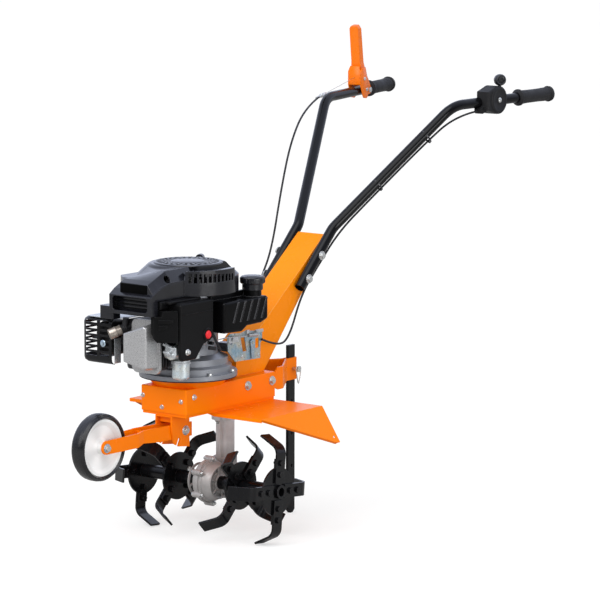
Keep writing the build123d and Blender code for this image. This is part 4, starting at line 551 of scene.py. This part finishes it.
def dress_frame():
    screws = []
    for y, z in ((-61.5, 351.9), (-4.1, 329.7), (52.9, 347.8)):
        screws += flange_bolt(place((167, y, z), AHEAD), 6.5, 5.5, 3.6)
    for y, facing in ((68, LEFT), (-68, RIGHT)):
        screws += flange_bolt(place((138.3, y, 356.2), facing), 8.0, 7.0, 4.5)
    for k in range(6):
        turn = radians(30 + 60 * k)
        x, z = GEARBOX_BOLT_CIRCLE * cos(turn), AXLE_Z + GEARBOX_BOLT_CIRCLE * sin(turn)
        screws += flange_bolt(place((x, 13, z), LEFT), 7.0, 6.0, 4.5)
        screws.append(hexagon(place((x, -10, z), RIGHT), 8.0, 5.0))
    for x in (-94, -26):
        for y in (-27, 27):
            screws += flange_bolt(place((x, y, 298), DOWN), 8.0, 6.5, 4.5)
    screws += flange_bolt(place((212, 110, 475), LEFT), 9.0, 7.5, 5.0)
    for k in range(8):
        turn = radians(22.5 + 45 * k)
        x, y = ENGINE_X + FLANGE_BOLT_CIRCLE * cos(turn), FLANGE_BOLT_CIRCLE * sin(turn)
        screws += flange_bolt(place((x, y, 406), UP), 7.0, 6.0, 4.5)
    for y, facing in ((STRAP_FACE_Y, LEFT), (-STRAP_FACE_Y, RIGHT)):
        screws.append(turned(place((FORK_PIVOT_X, y, FORK_PIVOT_Z), facing), (
            (5, 0), (11.5, 0), (11.5, 1.2), (10.6, 1.7), (5, 1.7), (5, 0)
        ), 32))
    piece("frame_screws", screws, "zinc_steel", "frame")


def dress_gearbox():
    collar = [
        block(place((-60, 0, 276), UP, AHEAD), (48, 48, 16), 3.0),
        block(place((-60, 0, 276), UP, AHEAD), (66, 17, 16), 3.0),
    ]
    piece("gearbox_collar", collar, "gearbox_casting", "frame")
    ribs = []
    for facing, out in ((LEFT, 33), (RIGHT, -32)):
        face = place((0, out, AXLE_Z), facing, UP)
        ribs.append(turned(face, (
            (35.0, -2), (40.0, -0.5), (40.0, 1.4), (38.6, 2.4), (36.4, 2.4), (35.0, 1.0)
        ), 56))
        ribs.append(turned(face, (
            (13.0, -0.4), (19.0, -0.4), (18.0, 1.6), (16.4, 2.4), (13.0, 2.4), (13.0, -0.4)
        ), 40))
        for k in range(6):
            spoke = face @ Matrix.Rotation(radians(60 * k + 12), 4, "Z")
            ribs.append(block(spoke @ Matrix.Translation((27.0 * MM, 0, -0.4 * MM)), (20, 4.2, 5.2), 1.2, 2))
    piece("gearbox_face_ribs", ribs, "gearbox_casting", "frame")
    heads = []
    for x in (-88, -32):
        heads += flange_bolt(place((x, 0, 268), DOWN), 7.0, 6.0, 4.5)
    piece("gearbox_collar_bolts", heads, "zinc_steel", "frame")


dress_frame()
dress_gearbox()


# ---------------------------------------------------------------- engine trim
def coil(where, radius, wire, turns, pitch):
    """A wound steel spring: a wire circle spun along a place's z."""
    bm = bmesh.new()
    bmesh.ops.create_circle(bm, segments=8, radius=wire * MM)
    stand = Matrix.Translation((radius * MM, 0, 0)) @ Matrix.Rotation(radians(90), 4, "X")
    bmesh.ops.transform(bm, matrix=stand, verts=bm.verts)
    steps = 14 * turns
    bmesh.ops.spin(
        bm, geom=bm.verts[:] + bm.edges[:], cent=(0, 0, 0), axis=(0, 0, 1), angle=2 * pi * turns, steps=steps,
        dvec=(0, 0, pitch * turns * MM / steps),
    )
    bmesh.ops.holes_fill(bm, edges=[e for e in bm.edges if e.is_boundary], sides=8)
    bmesh.ops.recalc_face_normals(bm, faces=bm.faces)
    bmesh.ops.transform(bm, matrix=where, verts=bm.verts)
    return bm


GRILLE_SPOKES = 26


def dress_housing():
    crown = place((ENGINE_X, 0, 0), UP, AHEAD)
    grille = [turned(crown, ((0, 662.4), (36, 662.2), (39, 661.4), (39.5, 659.0)), 48)]
    for k in range(GRILLE_SPOKES):
        spoke = crown @ Matrix.Rotation(2 * pi * k / GRILLE_SPOKES, 4, "Z")
        grille.append(block(spoke @ Matrix.Translation((56.5 * MM, 0, 660.0 * MM)), (35, 7.4, 2.6), 0.8, 2))
    grille.append(turned(crown, ((57, 659.0), (57, 661.3), (61, 661.3), (61, 659.0)), 64))
    grille.append(turned(crown, ((72, 658.6), (72.5, 660.9), (75, 661.2), (79, 660.4), (81, 657.9)), 64))
    piece("starter_grille", grille, "black_plastic", "frame")
    piece(
        "starter_grille_shadow",
        [turned(crown, ((39.2, 659.2), (72.4, 658.4), (72.4, 659.3), (39.2, 660.1), (39.2, 659.2)), 48)],
        "painted_shade_black", "frame",
    )
    # The slats and the sheet behind them are near black, painted shade of the air inlet's opening.
    louvres = [
        block(place((284, 5, z), UP, AHEAD), (3, 106, 2.2), 0.6, 2) for z in (576, 584.5, 593)
    ]
    louvres.append(block(place((279.6, 8, 618), UP, AHEAD), (1.6, 79, 22), 0.6, 2))
    piece("inlet_louvres_in_painted_shade", louvres, "painted_shade_black", "frame")


dress_housing()


GUARD_PLAN = (
    (158, -166), (168, -166), (200, -166), (208, -166), (245, -166), (253.1, -164.3), (259.9, -159.4),
    (264.0, -152.2), (265, -146), (265, -116), (265, -108), (265, -80), (265, -72),
)
GUARD_REAR, GUARD_INNER = 158, -72
GUARD_LONG, GUARD_WIDE = 107, 94
GUARD_SLOT_COLUMNS = (1, 3, 4, 7, 8, 10)


def slotted_guard():
    """Sheet-steel muffler guard: a grid bent along its plan, slots opened in rows, rims rolled inwards."""
    rows = [(433.0, 12.0), (434.6, 6.0), (439.0, 1.6), (445.0, 0.0)]
    for k in range(6):
        rows += [(451.4 + 12.5 * k, 0.0), (459.1 + 12.5 * k, 0.0)]
    rows += [(528.0, 0.0), (534.0, 1.6), (538.4, 6.0), (540.0, 12.0)]
    open_rows = (4, 6, 8, 10, 12, 14, 16)
    across, up = len(GUARD_PLAN) - 1, len(rows) - 1
    bm = bmesh.new()
    bmesh.ops.create_grid(bm, x_segments=across, y_segments=up, size=1.0)
    slots = []
    for face in bm.faces:
        middle = face.calc_center_median()
        column, row = int((middle.x + 1) / 2 * across), int((middle.y + 1) / 2 * up)
        if column in GUARD_SLOT_COLUMNS and row in open_rows:
            slots.append(face)
    bmesh.ops.delete(bm, geom=slots, context="FACES")
    for vert in bm.verts:
        x, y = GUARD_PLAN[round((vert.co.x + 1) / 2 * across)]
        z, roll = rows[round((vert.co.y + 1) / 2 * up)]
        vert.co = at(
            GUARD_REAR + (x - GUARD_REAR) * (GUARD_LONG - roll) / GUARD_LONG,
            GUARD_INNER + (y - GUARD_INNER) * (GUARD_WIDE - roll) / GUARD_WIDE,
            z,
        )
    bmesh.ops.recalc_face_normals(bm, faces=bm.faces)
    bmesh.ops.solidify(bm, geom=bm.faces[:], thickness=1.6 * MM)
    return bm


def dress_exhaust():
    guard = piece(
        "slotted_muffler_guard",
        [slotted_guard(), block(place((200, -157.5, 495), UP, AHEAD), (20, 16, 10), 1.0)],
        "black_paint", "frame",
    )
    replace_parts(guard, "muffler_guard")
    shells = [
        block(place((212, -108, 489), UP, AHEAD), (76, 58, 78), 17.0, 6),
        block(place((212, -108, 489), UP, AHEAD), (84, 66, 2.6), 1.2, 2),
        block(place((222, -76.5, 490), UP, AHEAD), (50, 11, 34), 3.0),
    ]
    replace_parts(piece("muffler_shells", shells, "near_black_muffler_steel", "frame"), "muffler")
    bolt = flange_bolt(place((265, -97.5, 481.5), AHEAD), 8.0, 8.0, 4.0)
    piece("guard_bolt", bolt, "blued_zinc", "frame")
    flat = place((0, 0, 540.4), UP, AHEAD)
    shield = [cut_sheet(flat, (
        (165, -150), (250, -150), (258, -147), (262, -139), (262, -76), (240, -50), (165, -50)
    ), 1.2)]
    upright = place((0, -68.4, 0), RIGHT, AHEAD)
    shield.append(cut_sheet(upright, ((236, 436), (258, 436), (258, 494), (236, 494)), 1.2))
    piece("heat_shield", shield, "thin_zinc", "frame")
    lead = place((240, -36, 526), (0.75, -0.55, -0.36))
    sleeve = [
        turned(lead, ((9.3, 24), (11.6, 24), (11.6, 34), (12.2, 34.5), (12.2, 53), (9.3, 53), (0, 52)), 32),
        turned(lead, ((11.4, 35.5), (12.7, 36), (12.7, 37.6), (11.4, 38)), 32),
    ]
    piece("plug_sleeve", sleeve, "heat_blued", "frame")
    boot = [turned(lead, tuple(
        (9.2 + 1.1 * (k % 2), 10 + 2.0 * k) for k in range(8)
    ), 28)]
    piece("plug_boot_ribs", boot, "black_rubber", "frame")


dress_exhaust()


def dress_intake():
    slant = place((259, 85, 538), (0.707, 0.707, 0), UP)
    latch = [
        block(slant @ Matrix.Translation((10 * MM, 0, 1.4 * MM)), (9, 34, 3.4), 1.2),
        block(slant @ Matrix.Translation((-4 * MM, 6 * MM, 1.0 * MM)), (11, 20, 2.6), 1.0),
    ]
    latch.append(block(place((176, 110.3, 562), LEFT, AHEAD), (112, 1.6, 1.2), 0.4, 2))
    latch.append(block(place((176, 91, 587.2), UP, AHEAD), (100, 26, 1.6), 0.6, 2))
    piece("filter_latch", latch, "black_filter", "frame")
    choke = [
        block(place((96, 99, 486), (0, 1, 0), (0.55, 0, 0.83)), (62, 7, 3), 1.2),
        block(place((108, 97.5, 470), (0, 1, 0), (1, 0, 0.2)), (26, 9, 5), 1.5),
        rod(place((106, 84, 481), LEFT), 4.0, 0, 15),
    ]
    piece("choke_lever", choke, "black_matt", "frame")
    front = place((236, 0, 0), AHEAD, LEFT)
    plates = [
        cut_sheet(front, ((66, 466), (92, 462), (98, 470), (97, 486), (80, 490), (66, 496)), 1.6),
        cut_sheet(
            front @ Matrix.Translation((0, 0, 5 * MM)), ((62, 490), (94, 482), (95, 486), (63, 495)), 1.4
        ),
        coil(place((243, 66, 475), (0, 1, -0.1)), 2.6, 0.7, 9, 2.2),
        rod(place((203, 78, 474), AHEAD), 5.0, 0, 42),
        rod(place((237, 90, 485), AHEAD), 3.0, 0, 7),
        turned(place((196, 77, 0), UP, AHEAD), (
            (19, 444), (22.5, 444), (22.5, 447.5), (21.5, 448.5), (21.5, 452), (19, 452), (19, 444)
        ), 40),
        hexagon(place((196, 77, 408.5), DOWN), 12.0, 3.5),
    ]
    plates += pan_screw(place((237.6, 88, 470), AHEAD), 3.6, 2.6)
    plates += pan_screw(place((237.6, 71, 488), AHEAD), 3.2, 2.6)
    piece("choke_linkage", plates, "thin_zinc", "frame")


dress_intake()


def dress_crankcase():
    axis = place((ENGINE_X, 0, 0), UP, AHEAD)
    # A thin black ring between the seat and the engine's flange.
    black_ring = [turned(axis, (
        (101.6, 393.4), (113.6, 393.4), (113.6, 395.8), (101.6, 395.8), (101.6, 393.4)
    ), 72)]
    piece("flange_black_ring", black_ring, "black_rubber", "frame")
    cowl = [
        block(place((238, 48, 582.6), UP, AHEAD), (50, 52, 20), 3.0),
        block(place((196, 62, 589.4), UP, AHEAD), (110, 60, 7), 2.0),
    ]
    piece("cylinder_cowl", cowl, "black_filter", "frame")


dress_crankcase()


def dress_governor():
    parts = [
        coil(place((-34, 91, 482), (-1, 0, -0.06)), 4.0, 0.9, 14, 2.6),
        block(place((-78, 88.5, 487), LEFT, AHEAD), (26, 7, 5), 0.8),
        block(place((-34, 88.5, 489), LEFT, AHEAD), (10, 10, 5), 0.8),
        cut_sheet(place((0, 87.8, 0), RIGHT, AHEAD), ((-2, 470), (34, 470), (34, 484), (-2, 484)), 1.4),
    ]
    parts += pan_screw(place((-16, 86, 434), LEFT), 4.2, 2.8)
    parts += pan_screw(place((-76, 86, 430), LEFT), 3.6, 2.6)
    parts += flange_bolt(place((22, 86, 478), LEFT), 7.0, 6.0, 4.0)
    piece("governor_springs", parts, "thin_zinc", "frame")
    strand(
        "governor_link", ((-30, 90, 480), (20, 90, 486), (90, 88, 484), (152, 84, 478)), 1.3, "zinc_steel",
        "frame",
    )


dress_governor()


def dress_fuel_cap():
    axis = place((-42, 97, 0), UP, AHEAD)
    scallops = []
    for k in range(9):
        spoke = axis @ Matrix.Rotation(2 * pi * k / 9, 4, "Z")
        scallops.append(block(spoke @ Matrix.Translation((26.8 * MM, 0, 612.6 * MM)), (6, 11, 14), 2.2))
    scallops.append(turned(axis, ((0, 623.2), (17, 623.0), (19, 622.4), (20, 621.5)), 40))
    piece("fuel_cap_grips", scallops, "black_plastic", "fuel_cap")


dress_fuel_cap()


# ---------------------------------------------------------------- handles
TUBE_LOW = Vector((-411, 52.5, 694))
TUBE_BEND = Vector((-711, 196, 979))
TUBE_END = Vector((-1055, 250, 990))
LEVER_PIVOT = (-915.0, -228.0, 985.5)
LEVER_AHEAD = (0.988, 0.155, 0.0)
LEVER_SIDE = (0.155, -0.988, 0.0)
WIRE_START = (-698.2, -190.6, 989.7)
WIRE_END = (-887.3, -223.7, 1023.5)
WIRE_LENGTH = 194.9


def dress_grips():
    ribs = []
    profile = [(15.0, -112)]
    for k in range(26):
        low = -108 + 3.9 * k
        swell = 0.5 * cos(2 * pi * k / 25)
        foot, crest = 16.3 + swell, 16.7 + swell
        profile += [(foot, low), (crest, low + 0.8), (crest, low + 2.8), (foot, low + 3.6)]
    profile.append((15.0, -4))
    for hand in (1, -1):
        run = Vector((TUBE_END.x - TUBE_BEND.x, hand * (TUBE_END.y - TUBE_BEND.y), TUBE_END.z - TUBE_BEND.z))
        ribs.append(turned(place((TUBE_END.x, hand * TUBE_END.y, TUBE_END.z), run), profile, 32))
    piece("grip_ribs", ribs, "black_rubber", "frame")


dress_grips()


def dress_clutch_lever():
    lever = place(LEVER_PIVOT, LEVER_SIDE, LEVER_AHEAD)
    outline = (
        (4, 10), (6, -4), (11, -17), (18, -21), (34, -19), (39, -12), (46, 4), (52, 14), (52, 50), (43, 60),
        (24, 60),
    )
    cheeks = [
        cut_sheet(lever @ Matrix.Translation((0, 0, -18.6 * MM)), outline, 2.4, 0.8),
        cut_sheet(lever @ Matrix.Translation((0, 0, 16.2 * MM)), outline, 2.4, 0.8),
        cut_sheet(
            lever @ Matrix.Translation((48.4 * MM, 0, 0)) @ Matrix.Rotation(radians(90), 4, "Y"),
            ((-18.4, 15), (18.4, 15), (18.4, 44), (13, 64), (-13, 64), (-18.4, 44)), 2.6, 0.9,
        ),
    ]
    piece("lever_cheeks", cheeks, "orange_dip", "clutch_lever")
    rivets = []
    near = lever @ Matrix.Rotation(pi, 4, "Y")
    for u, v in ((18, 2), (31, 30)):
        rivets += pan_screw(near @ Matrix.Translation((-u * MM, v * MM, 18.6 * MM)), 4.6, 3.2)
        rivets += pan_screw(lever @ Matrix.Translation((u * MM, v * MM, 18.6 * MM)), 4.6, 3.2)
    piece("lever_rivets", rivets, "zinc_steel", "clutch_lever")
    heading = Vector(WIRE_END) - Vector(CLUTCH_ROUTE[0])
    ferrule = [turned(place(CLUTCH_ROUTE[0], heading), (
        (0, -18), (3.4, -18), (3.4, 6), (5.2, 7), (5.2, 15), (3.6, 16), (3.6, 30), (1.6, 34), (0, 34)
    ), 20)]
    piece("clutch_adjuster", ferrule, "zinc_steel", "frame")
    profile = [(0, 0)] + [(0.6, WIRE_LENGTH * k / 12) for k in range(13)] + [(0, WIRE_LENGTH)]
    wire = piece(
        "clutch_wire", [turned(place(WIRE_START, heading), profile, 10)], "bare_steel", None
    )
    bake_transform(wire)


dress_clutch_lever()


def dress_throttle():
    face = place((-845, 242, 987), LEFT)
    disc = [turned(face, (
        (0, 3.0), (11, 3.0), (12, 2.2), (25, 2.2), (27.5, 3.2), (31, 3.0), (33.5, 1.4), (34.5, 0),
        (34.0, -0.5),
    ), 56)]
    piece("throttle_face", disc, "black_matt", "frame")
    piece("throttle_rivet", [turned(face, (
        (0, 6.2), (2.4, 6.0), (4.8, 5.0), (6.4, 3.4), (6.8, 2.6), (0, 2.6)
    ), 28)], "zinc_steel", "frame")
    knob = (
        (0, -11), (8, -11), (12, -9.5), (14.2, -6), (14.8, 0), (14.2, 6), (12.6, 9.6), (10.8, 10.6),
        (9.4, 9.8), (0, 9.2),
    )
    piece(
        "throttle_knob", [turned(place((-857, 235.8, 1036), (0.55, 0.83, 0.1)), knob, 36)], "black_plastic",
        "throttle_lever",
    )
    collar = [turned(place(THROTTLE_ROUTE[0], (-63, -20, 9.5)), (
        (0, -2), (3.2, -2), (4.6, 0), (4.6, 14), (3.2, 22), (0, 22)
    ), 20)]
    piece("throttle_ferrule", collar, "black_rubber", "frame")


dress_throttle()


def dress_cable_ties():
    straps = []
    run = TUBE_BEND - TUBE_LOW
    for share, reach in ((0.76, 24.0), (0.36, 20.0)):
        loop = place(TUBE_LOW + share * run, run, (0, -0.1, -1))
        bm = bmesh.new()
        bmesh.ops.create_circle(bm, segments=36, radius=1.0)
        bmesh.ops.scale(bm, vec=((reach + 16.0) / 2 * MM, 13.6 * MM, 1.0), verts=bm.verts)
        bmesh.ops.translate(bm, vec=((reach - 10.0) / 2 * MM, 0, -2.2 * MM), verts=bm.verts)
        raised = bmesh.ops.extrude_edge_only(bm, edges=bm.edges[:])
        top = [v for v in raised["geom"] if isinstance(v, bmesh.types.BMVert)]
        bmesh.ops.translate(bm, vec=(0, 0, 4.4 * MM), verts=top)
        bmesh.ops.recalc_face_normals(bm, faces=bm.faces)
        bmesh.ops.solidify(bm, geom=bm.faces[:], thickness=1.1 * MM)
        bmesh.ops.transform(bm, matrix=loop, verts=bm.verts)
        straps.append(bm)
        straps.append(block(loop @ Matrix.Translation((4 * MM, 14.2 * MM, 0)), (7, 5, 6), 0.8))
    piece("cable_ties", straps, "black_plastic", "frame")


dress_cable_ties()


# ---------------------------------------------------------------- depth pin
def dress_depth_pin():
    pin = [
        turned(place((-312, 0, 357), LEFT), (
            (0, -20), (3.4, -20), (4.0, -19), (4.0, 21.6), (6.6, 21.6), (7.2, 22.2), (7.2, 23.2), (5.0, 23.6),
            (5.0, 26.4), (6.8, 26.6), (6.8, 28.0), (6.0, 28.8), (0, 29.0),
        ), 28),
    ]
    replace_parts(piece("depth_pin_shank", pin, "zinc_steel", "depth_pin"), "depth_pin")
    strand(
        "depth_pin_ring",
        ((-312, 25, 364), (-302, 25, 363), (-304, 25, 347), (-309, 25, 328), (-312, 25, 321), (-315, 25, 328),
         (-320, 25, 347), (-322, 25, 363)),
        1.3, "zinc_steel", "depth_pin", cyclic=True,
    )


dress_depth_pin()


# ---------------------------------------------------------------- wheel
def dress_wheel():
    washers = []
    for hand, facing in ((1, LEFT), (-1, RIGHT)):
        hub_side = (WHEEL_CENTRE[0], hand * STRAP_FACE_Y, WHEEL_CENTRE[2])
        washers.append(turned(place(hub_side, facing), (
            (6.2, 0), (10.5, 0), (10.5, 1.4), (9.8, 1.8), (6.2, 1.8), (6.2, 0)
        ), 32))
    piece("axle_washers", washers, "blued_zinc", "wheel_fork")


dress_wheel()


# ---------------------------------------------------------------- floor, world and lamps
def set_floor():
    bm = bmesh.new()
    bmesh.ops.create_grid(bm, x_segments=1, y_segments=1, size=40.0)
    mesh = bpy.data.meshes.new("floor")
    bm.to_mesh(mesh)
    bm.free()
    f = bpy.data.materials.new("pale_floor")
    f.use_nodes = True
    tree = f.node_tree
    tree.nodes.remove(tree.nodes["Principled BSDF"])
    matt = tree.nodes.new("ShaderNodeBsdfDiffuse")
    matt.inputs["Color"].default_value = (0.5, 0.5, 0.5, 1)
    glow = tree.nodes.new("ShaderNodeEmission")
    glow.inputs["Color"].default_value = (0.55, 0.55, 0.55, 1)
    path = tree.nodes.new("ShaderNodeLightPath")
    tree.links.new(path.outputs["Is Camera Ray"], glow.inputs["Strength"])
    both = tree.nodes.new("ShaderNodeAddShader")
    tree.links.new(matt.outputs[0], both.inputs[0])
    tree.links.new(glow.outputs[0], both.inputs[1])
    tree.links.new(both.outputs[0], tree.nodes["Material Output"].inputs["Surface"])
    mesh.materials.append(f)
    floor = bpy.data.objects.new("floor", mesh)
    scene.collection.objects.link(floor)


BACKDROP_SIDE = (-0.62, -0.48, 0.62)


def set_world():
    world = bpy.data.worlds.new("studio")
    scene.world = world
    world.use_nodes = True
    tree = world.node_tree
    sky = tree.nodes["Background"]
    sky.inputs["Color"].default_value = (0.97, 0.98, 1.0, 1)
    sky.inputs["Strength"].default_value = 0.55
    white = tree.nodes.new("ShaderNodeBackground")
    white.inputs["Color"].default_value = (1, 1, 1, 1)
    room = tree.nodes.new("ShaderNodeBackground")
    room.inputs["Color"].default_value = (0.86, 0.93, 1.15, 1)
    facing = tree.nodes.new("ShaderNodeVectorMath")
    facing.operation = "DOT_PRODUCT"
    tree.links.new(tree.nodes.new("ShaderNodeTexCoord").outputs["Generated"], facing.inputs[0])
    facing.inputs[1].default_value = BACKDROP_SIDE
    backdrop = tree.nodes.new("ShaderNodeMapRange")
    tree.links.new(facing.outputs["Value"], backdrop.inputs["Value"])
    for key, number in zip(("From Min", "From Max", "To Min", "To Max"), (-0.2, 0.5, 0.14, 1.06)):
        backdrop.inputs[key].default_value = number
    tree.links.new(backdrop.outputs["Result"], room.inputs["Strength"])
    path = tree.nodes.new("ShaderNodeLightPath")
    mirrored = tree.nodes.new("ShaderNodeMixShader")
    tree.links.new(path.outputs["Is Glossy Ray"], mirrored.inputs[0])
    tree.links.new(sky.outputs[0], mirrored.inputs[1])
    tree.links.new(room.outputs[0], mirrored.inputs[2])
    choose = tree.nodes.new("ShaderNodeMixShader")
    tree.links.new(path.outputs["Is Camera Ray"], choose.inputs[0])
    tree.links.new(mirrored.outputs[0], choose.inputs[1])
    tree.links.new(white.outputs[0], choose.inputs[2])
    tree.links.new(choose.outputs[0], tree.nodes["World Output"].inputs["Surface"])


def softbox(name, spot, aim, size, power):
    lamp = bpy.data.lights.new(name, "AREA")
    lamp.shape = "RECTANGLE"
    lamp.size, lamp.size_y = size
    lamp.energy = power
    obj = bpy.data.objects.new(name, lamp)
    obj.location = spot
    obj.rotation_euler = (Vector(aim) - Vector(spot)).to_track_quat("-Z", "Y").to_euler()
    scene.collection.objects.link(obj)


def wide_sun(name, towards, power, spread):
    lamp = bpy.data.lights.new(name, "SUN")
    lamp.energy = power
    lamp.angle = radians(spread)
    obj = bpy.data.objects.new(name, lamp)
    obj.rotation_euler = (-Vector(towards)).to_track_quat("-Z", "Y").to_euler()
    scene.collection.objects.link(obj)


set_floor()
set_world()
wide_sun("overhead_scrim", (0.62, 0.30, 0.95), 1.6, 60.0)
softbox("front_softbox", (3.4, -0.4, 2.0), (0.2, 0.0, 0.5), (1.6, 2.2), 52.0)
softbox("side_softbox", (0.6, 3.8, 0.9), (0.0, 0.0, 0.5), (2.4, 1.4), 42.0)
